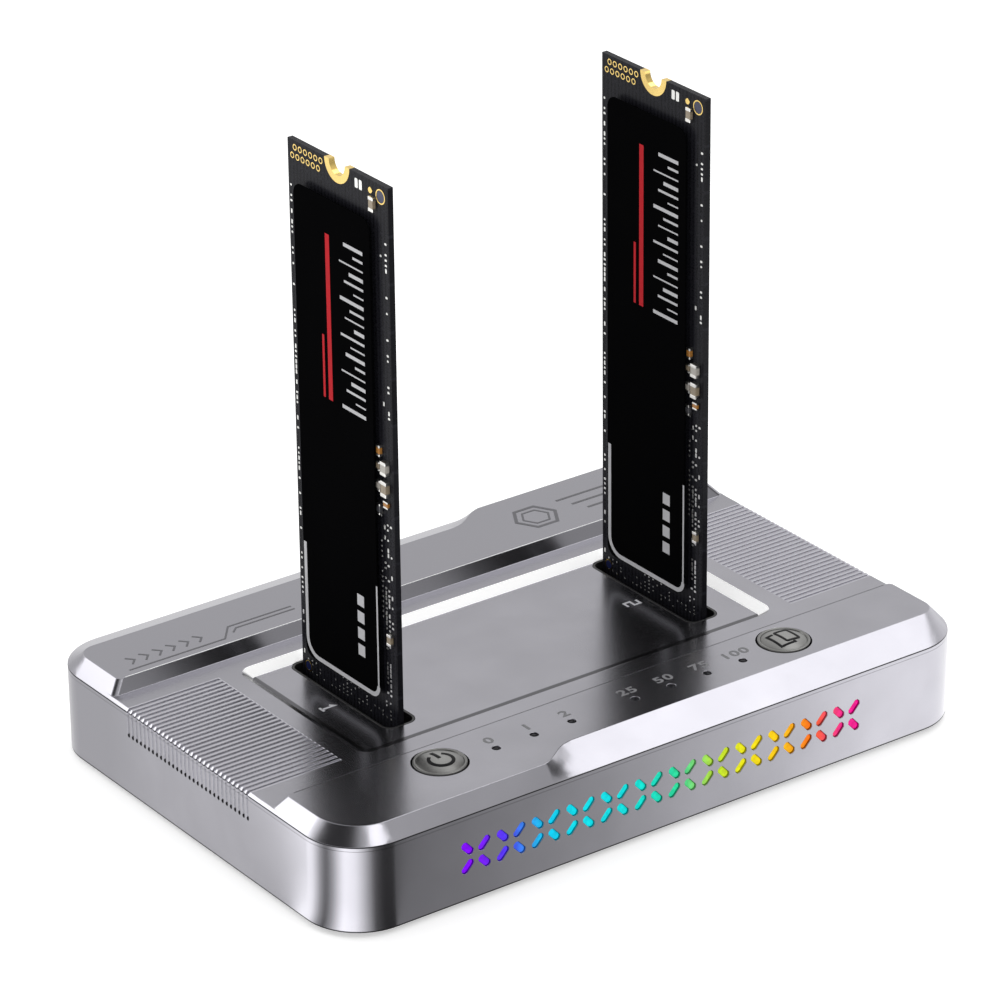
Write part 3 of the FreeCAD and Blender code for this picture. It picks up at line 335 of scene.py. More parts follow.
def add_number(mesh, plane, place, text, height, rise):
    """Flat digits, centred on a place of a plane."""
    curve = bpy.data.curves.new("digits", "FONT")
    curve.body = text
    curve.size = height / DIGIT_SHARE
    curve.align_x = "CENTER"
    curve.align_y = "CENTER"
    curve.resolution_u = 4
    curve.space_character = 1.12
    curve.offset = 0.05
    holder = bpy.data.objects.new("digits", curve)
    flat = bpy.data.meshes.new_from_object(holder)
    u0, v0 = place
    spots = [(u0 + v.co.x * DIGIT_STRETCH, v0 + v.co.y) for v in flat.vertices]
    bottom = [mesh.verts.new(plane.at(spot, 0)) for spot in spots]
    top = [mesh.verts.new(plane.at(spot, rise)) for spot in spots]
    used = {}
    for polygon in flat.polygons:
        mesh.faces.new([top[n] for n in polygon.vertices])
        mesh.faces.new([bottom[n] for n in reversed(polygon.vertices)])
        for edge in polygon.edge_keys:
            used[edge] = used.get(edge, 0) + 1
    for (a, b), count in used.items():
        if count == 1:
            mesh.faces.new((bottom[a], bottom[b], top[b], top[a]))
    bpy.data.objects.remove(holder)
    bpy.data.curves.remove(curve)
    bpy.data.meshes.remove(flat)


# Node code for the finishes


def start(name, colour, metallic=0.0, roughness=0.5):
    material = bpy.data.materials.new(name)
    material.use_nodes = True
    tree = material.node_tree
    shader = tree.nodes["Principled BSDF"]
    shader.inputs["Base Color"].default_value = (*colour, 1.0)
    shader.inputs["Metallic"].default_value = metallic
    shader.inputs["Roughness"].default_value = roughness
    return material, tree, shader


def wire(tree, value, socket):
    if isinstance(value, bpy.types.NodeSocket):
        tree.links.new(value, socket)
    else:
        socket.default_value = value


def calc(tree, operation, a, b=0.0):
    made = tree.nodes.new("ShaderNodeMath")
    made.operation = operation
    wire(tree, a, made.inputs[0])
    wire(tree, b, made.inputs[1])
    return made.outputs[0]


def spread(tree, value, low, high, first=0.0, last=1.0):
    made = tree.nodes.new("ShaderNodeMapRange")
    made.clamp = True
    wire(tree, value, made.inputs["Value"])
    for key, number in (("From Min", low), ("From Max", high), ("To Min", first), ("To Max", last)):
        made.inputs[key].default_value = number
    return made.outputs[0]


def blend(tree, factor, first, second):
    """Mixes two colours. Each is a colour or a socket."""
    made = tree.nodes.new("ShaderNodeMix")
    made.data_type = "RGBA"
    wire(tree, factor, made.inputs[0])
    for value, socket in ((first, made.inputs[6]), (second, made.inputs[7])):
        wire(tree, value if isinstance(value, bpy.types.NodeSocket) else (*value, 1.0), socket)
    return made.outputs[2]


def ramp_colours(tree, value, steps):
    """Colours along a value from 0 to 1. Each step is a place and a colour."""
    ramp = tree.nodes.new("ShaderNodeValToRGB")
    tree.links.new(value, ramp.inputs[0])
    stops = ramp.color_ramp.elements
    while len(stops) < len(steps):
        stops.new(0.5)
    for n, (position, colour) in enumerate(steps):
        stops[n].position = position
        stops[n].color = (*colour, 1.0)
    return ramp.outputs[0]


def places(tree):
    """The object's own coordinates, and its three numbers."""
    coordinates = tree.nodes.new("ShaderNodeTexCoord")
    parts = tree.nodes.new("ShaderNodeSeparateXYZ")
    tree.links.new(coordinates.outputs["Object"], parts.inputs[0])
    return coordinates, parts.outputs[0], parts.outputs[1], parts.outputs[2]


def cloud(tree, coordinates, size, detail=2.0, stretch=(1, 1, 1)):
    """Noise whose spots are about size millimetres wide."""
    mapping = tree.nodes.new("ShaderNodeMapping")
    mapping.inputs["Scale"].default_value = stretch
    tree.links.new(coordinates.outputs["Object"], mapping.inputs[0])
    noise = tree.nodes.new("ShaderNodeTexNoise")
    noise.inputs["Scale"].default_value = 1.0 / (size * MM)
    noise.inputs["Detail"].default_value = detail
    tree.links.new(mapping.outputs[0], noise.inputs["Vector"])
    return noise.outputs["Fac"]


def relief(tree, shader, height, strength, depth):
    bump = tree.nodes.new("ShaderNodeBump")
    bump.inputs["Strength"].default_value = strength
    bump.inputs["Distance"].default_value = depth * MM
    tree.links.new(height, bump.inputs["Height"])
    tree.links.new(bump.outputs[0], shader.inputs["Normal"])


def darker(colour, share):
    return tuple(part * share for part in colour)


def grained(name, colour, metallic, roughness, size, contrast=0.85, rough_spread=0.06, depth=0.004,
            strength=0.3, stretch=(1, 1, 1), shine=0.5):
    """A plain finish with fine grain in its colour, gloss and surface."""
    material, tree, shader = start(name, colour, metallic, roughness)
    shader.inputs["Specular IOR Level"].default_value = shine
    coordinates = places(tree)[0]
    fine = cloud(tree, coordinates, size, 3.0, stretch)
    broad = cloud(tree, coordinates, size * 40, 2.0)
    tone = calc(tree, "ADD", calc(tree, "MULTIPLY", fine, 0.5), calc(tree, "MULTIPLY", broad, 0.5))
    colour_socket = blend(tree, spread(tree, tone, 0.35, 0.65), darker(colour, contrast), colour)
    tree.links.new(colour_socket, shader.inputs["Base Color"])
    gloss = spread(tree, broad, 0.3, 0.7, max(roughness - rough_spread, 0.02), roughness + rough_spread)
    tree.links.new(gloss, shader.inputs["Roughness"])
    relief(tree, shader, fine, strength, depth)
    return material


# Shares of the aluminium's colour: in its soft patches, towards the back, on the ribs as painted light and on
# walls with painted shade
PATCH_SHARES = (0.88, 1.12)
BACK_SHARE = 0.84
RIB_PAINTED_LIGHT_SHARE = 1.22
SHADED_SHARE = 0.3
# Roughness of the metal, its change with the grain, and how much rougher joints and cut walls are
SATIN = 0.215
GRAIN_SPREAD = 0.03
MATT_RISE = 0.35
# How far the recess walls with painted light are pale paint and not metal, and how much painted glow they
# give
PAINTED_LIGHT_PALENESS = 0.9
PAINTED_LIGHT_GLOW = 0.3
# Colour of the dark joints and rib dots, and of the painted dark reflection along the walls' lower edge
JOINT_AND_PAINTED_REFLECTION_COLOUR = (0.02, 0.02, 0.022)


def housing_metal(finishes):
    """Blasted aluminium, with dark joints, a painted dark reflection along the walls' lower edge, painted
    light and painted shade on the recess walls, and painted light on the ribs.
    """
    material, tree, shader = start("blasted_aluminium", finishes.aluminium, 1.0, SATIN)
    coordinates, x, y, z = places(tree)
    slope = tree.nodes.new("ShaderNodeSeparateXYZ")
    tree.links.new(coordinates.outputs["Normal"], slope.inputs[0])
    fine = cloud(tree, coordinates, 0.10, 2.0)
    broad = cloud(tree, coordinates, 9.0, 3.0)
    low_patch, high_patch = [darker(finishes.aluminium, share) for share in PATCH_SHARES]
    colour = blend(tree, broad, low_patch, high_patch)
    to_back = spread(tree, y, 8 * MM, BAR_EDGE * MM)
    colour = blend(tree, to_back, colour, darker(finishes.aluminium, BACK_SHARE))
    # Painted light: the ribs and their grooves are paler than the rest of the metal.
    colour = blend(tree, rib_field(tree, x, y, z), colour, darker(finishes.aluminium, RIB_PAINTED_LIGHT_SHARE))
    # Painted light on the recess's right and back walls, which turn white, partly non-metal and glowing;
    # painted shade on its left and front walls, and a painted shadow on the floor at their foot.
    painted_light, shaded = recess_walls(tree, slope, x, y, z)
    colour = blend(tree, painted_light, colour, (1.0, 1.0, 1.0))
    colour = blend(tree, shaded, colour, darker(finishes.aluminium, SHADED_SHARE))
    dark = calc(tree, "MAXIMUM", wall_joints(tree, slope, z), rib_dots(tree, x, y, z))
    tree.links.new(blend(tree, dark, colour, JOINT_AND_PAINTED_REFLECTION_COLOUR), shader.inputs["Base Color"])
    metal = calc(tree, "SUBTRACT", 1.0, calc(tree, "MULTIPLY", painted_light, PAINTED_LIGHT_PALENESS))
    tree.links.new(metal, shader.inputs["Metallic"])
    # The glow is painted light on the recess walls.
    shader.inputs["Emission Color"].default_value = (1.0, 1.0, 1.0, 1.0)
    tree.links.new(calc(tree, "MULTIPLY", painted_light, PAINTED_LIGHT_GLOW), shader.inputs["Emission Strength"])
    satin = calc(tree, "ADD", calc(tree, "MULTIPLY", fine, GRAIN_SPREAD), SATIN)
    matt = calc(tree, "MULTIPLY", calc(tree, "ADD", dark, painted_light), MATT_RISE)
    tree.links.new(calc(tree, "ADD", satin, matt), shader.inputs["Roughness"])
    relief(tree, shader, fine, 0.02, 0.002)
    return material


def both(tree, *factors):
    """1 where all the factors are 1."""
    product = factors[0]
    for factor in factors[1:]:
        product = calc(tree, "MULTIPLY", product, factor)
    return product


def above(tree, value, level, edge):
    """1 above a level in millimetres, and 0 below it, with a soft edge of a width in millimetres."""
    return spread(tree, value, (level - edge / 2) * MM, (level + edge / 2) * MM)


def below(tree, value, level, edge):
    """1 below a level in millimetres, and 0 above it, with a soft edge of a width in millimetres."""
    return spread(tree, value, (level - edge / 2) * MM, (level + edge / 2) * MM, 1.0, 0.0)


def near_level(tree, value, level, reach):
    """1 within a reach of a level, both in millimetres."""
    made = calc(tree, "COMPARE", value, level * MM)
    made.node.inputs[2].default_value = reach * MM
    return made


def wall_joints(tree, slope, z):
    """1 in the fine parting line below the crown, and in a painted dark reflection along the walls' lower
    edge.
    """
    upright = spread(tree, slope.outputs[2], 0.3, 0.5, 1.0, 0.0)
    seam = both(tree, above(tree, z, WALL_TOP - 0.155, 0.05), below(tree, z, WALL_TOP, 0.02))
    # Painted reflection: a dark line along the walls' lower edge.
    foot = below(tree, z, HOUSING_LOW.z + 0.20, 0.08)
    return both(tree, calc(tree, "MAXIMUM", seam, foot), upright)


def in_depth(tree, y, reach):
    """1 within a distance of the recess's middle line, from front to back."""
    offset = calc(tree, "ABSOLUTE", calc(tree, "SUBTRACT", y, RECESS_MIDDLE_Y * MM))
    return calc(tree, "LESS_THAN", offset, reach * MM)


def rib_field(tree, x, y, z):
    """1 on the ribs and in their grooves, on the top, where the metal is made paler as painted light."""
    outer = calc(tree, "GREATER_THAN", calc(tree, "ABSOLUTE", x), (RIB_INNER_X - 0.1) * MM)
    return both(tree, near_level(tree, z, MIDDLE - 0.3, 0.34), outer, in_depth(tree, y, RIBS / 2 * RIB_PITCH))


def recess_walls(tree, slope, x, y, z):
    """Factors for the recess's walls with painted light, and for its walls with painted shade and the painted
    shadow on the floor at their foot.
    """
    reach_x, reach_y = RECESS_REACH
    inside = both(tree, calc(tree, "LESS_THAN", calc(tree, "ABSOLUTE", x), (reach_x + 0.05) * MM),
                  in_depth(tree, y, reach_y + 0.05), calc(tree, "GREATER_THAN", z, (RECESS + 0.03) * MM),
                  calc(tree, "LESS_THAN", z, (MIDDLE - 0.01) * MM))
    faces = [spread(tree, slope.outputs[axis], 0.3 * way, 0.45 * way) for axis in (0, 1) for way in (-1, 1)]
    painted_light = both(tree, inside, calc(tree, "MAXIMUM", faces[0], faces[2]))
    walls = both(tree, inside, calc(tree, "MAXIMUM", faces[1], faces[3]))
    left, front = -reach_x + RECESS_RUN, RECESS_MIDDLE_Y - reach_y + RECESS_RUN
    # Painted shadow: a dark band on the floor along the foot of the left and front walls.
    foot = calc(tree, "MAXIMUM", below(tree, x, left + 0.675, 0.15), below(tree, y, front + 0.775, 0.15))
    on_floor = near_level(tree, z, RECESS, 0.03)
    return painted_light, calc(tree, "MAXIMUM", walls, both(tree, on_floor, foot))


def distance(tree, a, b):
    """The length of the line whose two parts are a and b."""
    return calc(tree, "SQRT", calc(tree, "ADD", calc(tree, "MULTIPLY", a, a), calc(tree, "MULTIPLY", b, b)))


def rib_dots(tree, x, y, z):
    """1 on a round dot at the foot of each rib groove on the side walls."""
    along = calc(tree, "DIVIDE", calc(tree, "SUBTRACT", y, RIB_FIRST_Y * MM), RIB_PITCH * MM)
    side = calc(tree, "MULTIPLY", calc(tree, "SUBTRACT", along, calc(tree, "ROUND", along)), RIB_PITCH)
    drop = calc(tree, "DIVIDE", calc(tree, "SUBTRACT", z, (RIB_FOOT + 0.1) * MM), MM)
    dot = spread(tree, distance(tree, side, drop), 0.24, 0.30, 1.0, 0.0)
    first, last = calc(tree, "GREATER_THAN", along, -0.5), calc(tree, "LESS_THAN", along, RIBS - 0.5)
    outside = calc(tree, "GREATER_THAN", calc(tree, "ABSOLUTE", x), (SIDE - 0.6) * MM)
    return both(tree, dot, both(tree, first, last), outside)


# Colours of the strokes at even steps along the row
ROW_COLOURS = [
    (0.20, 0.00, 0.85), (0.06, 0.04, 0.82), (0.00, 0.50, 0.76), (0.00, 0.66, 0.74),
    (0.00, 0.66, 0.70), (0.00, 0.66, 0.52), (0.02, 0.60, 0.24), (0.42, 0.68, 0.02),
    (0.80, 0.70, 0.00), (0.88, 0.50, 0.00), (0.84, 0.10, 0.00), (0.80, 0.00, 0.24),
]


def spectrum_plastic(finishes):
    """Clear plastic that is lit from behind, in colours that change along the row."""
    material, tree, shader = start("lit_stroke", (0.5, 0.5, 0.5), 0.0, 0.22)
    coordinates, x, _, _ = places(tree)
    first, last = CROSS_CENTRES[0], CROSS_CENTRES[-1]
    steps = [(n / (len(ROW_COLOURS) - 1), colour) for n, colour in enumerate(ROW_COLOURS)]
    hue = ramp_colours(tree, spread(tree, x, first * MM, last * MM), steps)
    spots = cloud(tree, coordinates, 0.8, 2.0)
    shade = blend(tree, spread(tree, spots, 0.3, 0.7), (0.72, 0.72, 0.72), (1.0, 1.0, 1.0))
    product = tree.nodes.new("ShaderNodeMix")
    product.data_type = "RGBA"
    product.blend_type = "MULTIPLY"
    product.inputs[0].default_value = 1.0
    tree.links.new(hue, product.inputs[6])
    tree.links.new(shade, product.inputs[7])
    tree.links.new(product.outputs[2], shader.inputs["Base Color"])
    tree.links.new(product.outputs[2], shader.inputs["Emission Color"])
    shader.inputs["Emission Strength"].default_value = finishes.lamp_glow
    shader.inputs["Specular IOR Level"].default_value = 0.12
    relief(tree, shader, spots, 0.15, 0.01)
    return material


def card_mask(name, colour):
    """Glossy solder mask with faint traces that show through it."""
    material, tree, shader = start(name, colour, 0.0, 0.28)
    shader.inputs["IOR"].default_value = 1.15
    coordinates = places(tree)[0]
    cells = tree.nodes.new("ShaderNodeTexBrick")
    mapping = tree.nodes.new("ShaderNodeMapping")
    mapping.inputs["Rotation"].default_value = (0, math.radians(90), 0)
    tree.links.new(coordinates.outputs["Object"], mapping.inputs[0])
    tree.links.new(mapping.outputs[0], cells.inputs["Vector"])
    for key, number in (("Scale", 420.0), ("Mortar Size", 0.09), ("Brick Width", 2.7), ("Row Height", 0.32)):
        cells.inputs[key].default_value = number
    cells.inputs["Color1"].default_value = (*colour, 1.0)
    cells.inputs["Color2"].default_value = (*darker(colour, 1.5), 1.0)
    cells.inputs["Mortar"].default_value = (*darker(colour, 2.3), 1.0)
    tree.links.new(cells.outputs["Color"], shader.inputs["Base Color"])
    fine = cloud(tree, coordinates, 0.25, 2.0)
    tree.links.new(spread(tree, fine, 0.3, 0.7, 0.22, 0.36), shader.inputs["Roughness"])
    relief(tree, shader, cells.outputs["Fac"], 0.25, 0.01)
    return material


def dome_metal(finishes):
    """Dark anodised metal of the button caps, with painted shade low on the cap and painted light towards the
    top of the dome.
    """
    material, tree, shader = start("anodised_cap", finishes.button, 1.0, 0.30)
    coordinates, _, _, z = places(tree)
    fine = cloud(tree, coordinates, 0.06, 2.0)
    # Painted light and shade: darker at the rim, paler towards the top of the dome.
    painted_dome_light = spread(tree, z, (TOP + 0.08) * MM, (TOP + 0.5) * MM)
    tone = blend(tree, painted_dome_light, darker(finishes.button, 0.75), darker(finishes.button, 1.35))
    tree.links.new(tone, shader.inputs["Base Color"])
    tree.links.new(spread(tree, fine, 0.3, 0.7, 0.26, 0.36), shader.inputs["Roughness"])
    relief(tree, shader, fine, 0.12, 0.003)
    return material


def smoked_plastic():
    material, tree, shader = start("smoked_lens", (0.01, 0.01, 0.012), 0.0, 0.12)
    shader.inputs["IOR"].default_value = 1.15
    coordinates = places(tree)[0]
    spots = cloud(tree, coordinates, 0.3, 2.0)
    smoke = blend(tree, spots, (0.004, 0.004, 0.005), (0.02, 0.02, 0.024))
    tree.links.new(smoke, shader.inputs["Base Color"])
    relief(tree, shader, spots, 0.1, 0.004)
    return material


def dress(node, material):
    """Gives a CAD node its finish."""
    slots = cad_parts[node].data.materials
    slots.clear()
    slots.append(material)


def soften(node, width, angle=12.0, steps=2):
    """Rounds a CAD node's edges by modifiers: one face for each plane, bevels, then even triangles."""
    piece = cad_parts[node]
    piece.data.shade_smooth()
    weld = piece.modifiers.new("weld", "WELD")
    weld.merge_threshold = 0.0005 * MM
    flat = piece.modifiers.new("flat", "DECIMATE")
    flat.decimate_type = "DISSOLVE"
    flat.angle_limit = math.radians(0.3)
    edge = piece.modifiers.new("edge", "BEVEL")
    edge.width = width * MM
    edge.segments = steps
    edge.limit_method = "ANGLE"
    edge.angle_limit = math.radians(angle)
    edge.use_clamp_overlap = False
    edge.mark_sharp = True
    shade = piece.modifiers.new("shade", "WEIGHTED_NORMAL")
    shade.mode = "FACE_AREA"
    shade.weight = 100
    shade.keep_sharp = True
    even = piece.modifiers.new("even", "TRIANGULATE")
    even.quad_method = "BEAUTY"
    even.ngon_method = "BEAUTY"
    even.keep_custom_normals = True


# Pieces of the housing


def make_housing(finishes, sizes):
    metal = housing_metal(finishes)
    dress("upper_housing", metal)
    soften("upper_housing", sizes.edge_round / MM, 20.0)
    make_edge_lines(finishes, sizes)
    make_bar_ornaments(finishes, sizes)
    make_slot_numbers(sizes)


def make_edge_lines(finishes, sizes):
    """Fine lines on the edges of the channel: a painted highlight on the back bar, painted shade on the front
    strip.
    """
    plane = level_plane(TOP)
    reach, rise = SIDE - 3.0, sizes.print_rise / MM / 2
    # Painted highlight: a pale band along the back bar's front edge.
    painted_light = bmesh.new()
    add_band(painted_light, plane.at, [(-reach, BAR_EDGE + 0.09), (reach, BAR_EDGE + 0.09)], 0.15, rise)
    edge_highlight = grained("painted_edge_highlight", (0.93, 0.93, 0.94), 0.25, 0.5, 0.1)
    make_piece("back_bar_highlight_line", painted_light, "housing", "housing_aluminium", edge_highlight)
    # Painted shade: a dark band along the front strip's edge.
    dark = bmesh.new()
    add_band(dark, plane.at, [(-reach, STRIP_EDGE - 0.08), (reach, STRIP_EDGE - 0.08)], 0.12, rise)
    make_piece("front_strip_dark_line", dark, "housing", "housing_aluminium", groove_finish(finishes))


# The finish of dark bands that are painted groove shadow.
def groove_finish(finishes):
    return grained("groove_shadow", darker(finishes.aluminium, 0.42), 1.0, 0.42, 0.1)


# The engraving on the back bar: a chevron and its pitch, bent lines, nested hexagons and level lines
CHEVRONS, CHEVRON_PITCH = 6, 2.1
CHEVRON = ((-45.2, 21.9), (-44.3, 22.9), (-45.2, 23.9))
BENT_LINES = (
    [(-46.5, 20.7), (-31.5, 20.7), (-29.3, 23.4), (-19.2, 23.4)],
    [(-29.6, 21.6), (-28.6, 22.5), (-19.2, 22.5)],
)
HEXAGON_PLACE = (23.4, 25.7)
HEXAGONS = ((3.3, 0.5), (2.1, 0.3))
LEVEL_LINES = ([(28.6, 28.0), (37.5, 28.0)], [(29.8, 25.9), (37.5, 25.9)], [(31.0, 23.8), (37.5, 23.8)])


def make_bar_ornaments(finishes, sizes):
    """Plain engraved lines on the back bar, drawn as dark bands of painted groove shadow: a run of chevrons
    on the left, nested hexagons on the right.
    """
    mesh = bmesh.new()
    plane = level_plane(TOP)
    rise = sizes.print_rise / MM
    for n in range(CHEVRONS):
        add_band(mesh, plane.at, [(u + CHEVRON_PITCH * n, v) for u, v in CHEVRON], 0.3, rise)
    for points in BENT_LINES:
        add_band(mesh, plane.at, points, 0.28, rise)
    for radius, width in HEXAGONS:
        add_band(mesh, plane.at, circle(*HEXAGON_PLACE, radius, 6), width, rise, closed=True)
    for points in LEVEL_LINES:
        add_band(mesh, plane.at, points, 0.42, rise)
    # The bands are dark: painted shadow in the engraved grooves.
    make_piece("back_bar_lines", mesh, "housing", "housing_aluminium", groove_finish(finishes))


# The numbers 1 and 2 as lines, in a box one unit wide and two high
SLOT_DIGITS = {
    "source": [[(-0.5, 1.45), (0.0, 2.0), (0.0, 0.0)], [(-0.55, 0.0), (0.55, 0.0)]],
    "target": [[(-0.55, 2.0), (0.55, 2.0), (0.55, 1.0), (-0.55, 1.0), (-0.55, 0.0), (0.55, 0.0)]],
}


def make_slot_numbers(sizes):
    mesh = bmesh.new()
    for side in SIDES:
        low, high = corners(side + "_drive_board")
        plane = Plane((low.x - 5.6, (low.y + high.y) / 2 - 1.6, RECESS), (0, -1, 0), (1, 0, 0))
        for points in SLOT_DIGITS[side]:
            add_band(mesh, plane.at, points, 0.34, sizes.print_rise / MM)
    paint = grained("slot_number_paint", (0.72, 0.72, 0.76), 0.0, 0.5, 0.1)
    make_piece("slot_numbers", mesh, "housing", "housing_aluminium", paint)


# Length, width and turn of a stroke, and its place from the middle of its cross
STROKE_LENGTH, STROKE_WIDTH, STROKE_TURN = 2.12, 0.97, 47.0
STROKE_ACROSS, STROKE_UP = 1.3, 1.28


def stroke_outline(x, z, tilt):
    """A stroke with round ends, turned about its own centre."""
    turn = Matrix.Rotation(math.radians(tilt), 2)
    flat = rounded(0, 0, STROKE_LENGTH, STROKE_WIDTH, STROKE_WIDTH / 2 - 0.001, 6)
    return [tuple(turn @ Vector(point) + Vector((x, z))) for point in flat]


def make_light_row(finishes, sizes):
    """The coloured strokes that sit in the openings of the front wall."""
    mesh = bmesh.new()
    back = corners("light_bar")[0].y
    plane = Plane((0, back, 0), (1, 0, 0), (0, 0, 1))
    height = back - FRONT - sizes.lug_depth / MM
    for centre in CROSS_CENTRES:
        for across in (-1, 1):
            for level in (-1, 1):
                u, v = centre + STROKE_ACROSS * across, CROSS_Z + STROKE_UP * level
                outline = stroke_outline(u, v, STROKE_TURN * across * level)
                add_plate(mesh, plane, outline, 0.0, height, 0.07)
    make_piece("light_strokes", mesh, "housing", "milky_diffuser", spectrum_plastic(finishes), smooth=40)
    # The diffuser is dark grey: painted shade in the gaps round the strokes.
    dress("light_bar", grained("shaded_diffuser", (0.10, 0.10, 0.11), 0.0, 0.4, 0.5))
    dress("light_lamps", grained("lamp_body", (0.8, 0.8, 0.72), 0.0, 0.3, 0.4))


# Buttons and status lamps


def cap_profile(cap, foot, rim_top, rim, dome_rise):
    """(radius, z) points of a button cap, from its foot over the rim to the middle of the dome."""
    points = [(cap - 0.05, foot), (cap, foot + 0.05), (cap, rim_top - 0.13), (cap - 0.04, rim_top - 0.04),
              (cap - 0.13, rim_top), (rim + 0.16, rim_top), (rim + 0.06, rim_top - 0.04),
              (rim, rim_top - 0.14)]
    for n in range(12):
        share = n / 11
        radius = (rim - 0.06) * math.cos(share * math.pi / 2)
        points.append((max(radius, 0.001), dome_height(radius, rim, rim_top, dome_rise)))
    return points


def dome_height(radius, rim, rim_top, dome_rise):
    share = min(radius / rim, 1.0)
    return rim_top - 0.1 + (dome_rise + 0.1) * (1 - share ** 2)


# Radii of a cap and of its dome, the rim's rise above the top, and the foot's depth below it
CAP_RADIUS, DOME_RADIUS = 3.55, 3.1
RIM_RISE = 0.15
FOOT_DEPTH = 2.55
# The lines of each button's sign: points, width and whether the line closes
SIGNS = {
    "power": [
        (circle(0.1, -0.1, 1.6, 48, math.radians(126), math.radians(288)), 0.46, False),
        ([(0.1, 0.2), (0.1, 2.15)], 0.46, False),
    ],
    "clone": [
        (rounded(0.75, 0.35, 2.1, 2.9, 0.25, 3), 0.34, True),
        ([(-0.75, 1.5), (-1.7, 1.5), (-1.7, -1.7), (0.6, -1.7), (0.6, -1.4)], 0.34, False),
    ],
}


def make_button(name, finishes):
    """A domed cap with a rim, and its bar and stem inside the housing."""
    low, high = corners(name + "_button")
    x, y = (low.x + high.x) / 2, (low.y + high.y) / 2
    rim_top, rise = TOP + RIM_RISE, high.z - TOP - RIM_RISE
    foot = TOP - FOOT_DEPTH
    mesh = bmesh.new()
    add_turned(mesh, x, y, cap_profile(CAP_RADIUS, foot, rim_top, DOME_RADIUS, rise))
    plane = level_plane(foot, x, y)
    add_plate(mesh, plane, rounded(0, 0, high.x - low.x, 3.4, 0.4), 0.0, 0.9, 0.1)
    add_plate(mesh, plane, rounded(0, 0, 2.4, 2.4, 0.3), low.z - foot, 0.05, 0.0)
    metal = dome_metal(finishes)
    cap = make_piece(name + "_cap", mesh, name + "_key", "button_metal", metal, smooth=32)
    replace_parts(cap, name + "_button")
    place = dome_place(x, y, DOME_RADIUS, rim_top, rise)
    sign = bmesh.new()
    for points, width, closed in SIGNS[name]:
        add_band(sign, place, finer(points, 0.25, closed), width, 0.05, closed=closed)
    paint = grained("sign_paint", (0.004, 0.004, 0.005), 0.0, 0.5, 0.1, shine=0.1)
    make_piece(name + "_sign", sign, name + "_key", "button_metal", paint)


def dome_place(x, y, rim, rim_top, rise):
    """Points of the dome's surface, for add_band."""
    def place(point, lift):
        u, v = point
        z = dome_height(math.hypot(u, v), rim, rim_top, rise)
        return Vector((x + u, y + v, z + lift)) * MM
    return place


def make_status_row(finishes, sizes):
    """The numbers behind the status lamps, and the lamps' dark windows."""
    mesh = bmesh.new()
    plane = level_plane(TOP)
    for x, text in STATE_LAMPS + PROGRESS_LAMPS:
        place = (x + 0.35, STATUS_Y + 2.15)
        add_number(mesh, plane, place, text, sizes.number_height / MM, sizes.print_rise / MM)
    ink = grained("print_ink", finishes.ink, 0.0, 0.6, 0.1, shine=0.1)
    make_piece("status_numbers", mesh, "housing", "housing_aluminium", ink)
    lens = bmesh.new()
    pipe_top = corners("status_light_pipe")[1].z
    window = [(0.50, 0.0), (0.50, 0.04), (0.42, 0.12), (0.22, 0.17), (0.001, 0.18)]
    for x, _ in STATE_LAMPS + PROGRESS_LAMPS:
        add_turned(lens, x, STATUS_Y, [(radius, pipe_top + rise) for radius, rise in window], 24)
    make_piece("status_lenses", lens, "housing", "clear_pipe", smoked_plastic(), smooth=40)
    dress("status_light_pipe", smoked_plastic())


# Cards


# How far the label lies towards the front edge from the CAD label's place
LABEL_SHIFT = 0.9


def make_card(side, finishes, sizes):
    body = side + "_drive"
    dress(side + "_drive_board", card_mask(side + "_solder_mask", tuple(finishes.card)))
    gold = grained(side + "_gold", finishes.gold, 1.0, 0.24, 0.15)
    dress(side + "_drive_contacts", gold)
    dress(side + "_drive_end_ring", gold)
    dress(side + "_drive_chips", grained(side + "_chip_resin", (0.018, 0.018, 0.02), 0.0, 0.5, 0.08))
    film = grained(side + "_label_film", finishes.label, 0.0, 0.42, 0.2, rough_spread=0.04, depth=0.002,
                   shine=0.02)
    film.node_tree.nodes["Principled BSDF"].inputs["IOR"].default_value = 1.05
    make_label_film(side, body, film)
    make_label_print(side, body, finishes, sizes)
    make_small_parts(side, body)
    make_card_pads(side, body, finishes)


def label_plane(side, x):
    """The card's plane, moved by the label's small shift towards the front edge."""
    plane = card_plane(side, x)
    plane.origin.y -= LABEL_SHIFT
    return plane


def make_label_film(side, body, film):
    """The thin film over the chips, with round corners, in place of the plain sheet."""
    low, high = corners(side + "_drive_label")
    plane = label_plane(side, high.x)
    u = plane.origin.y + LABEL_SHIFT - (low.y + high.y) / 2
    v = (low.z + high.z) / 2 - plane.origin.z
    mesh = bmesh.new()
    add_plate(mesh, plane, rounded(u, v, high.y - low.y, high.z - low.z, 1.6), 0.0, high.x - low.x, 0.03)
    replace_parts(make_piece(side + "_film", mesh, body, "label_film", film), side + "_drive_label")


# The silver line round the label's lower end: where it runs, the radii of its bends and the tops of its ends
LINE_LEFT, LINE_RIGHT, LINE_FOOT = -9.1, 7.1, 8.5
LEFT_BEND, RIGHT_BEND = 2.5, 1.5
LEFT_END, RIGHT_END = 24.7, 24.5
# The strip of ticks: number, pitch, right edge and lowest tick, and the lengths and widths in turn
TICKS, TICK_PITCH = 19, 1.25
TICKS_EDGE, TICKS_FOOT = 5.6, 47.5
TICK_LENGTHS = (5.2, 3.1, 4.2, 2.2)
TICK_WIDTHS = (0.5, 0.22, 0.34)
# The plain squares: middle line, lowest edge, pitch, height and width
SQUARES = 4
SQUARES_MIDDLE, SQUARES_FOOT, SQUARE_PITCH = 3.4, 13.0, 2.4
SQUARE_HEIGHT, SQUARE_WIDTH = 1.6, 1.5
# The red bars: middle line, top and width of each, and their common foot
RED_BARS = ((-2.2, 70.2, 0.9), (-3.6, 56.0, 0.45))
RED_FOOT = 47.3


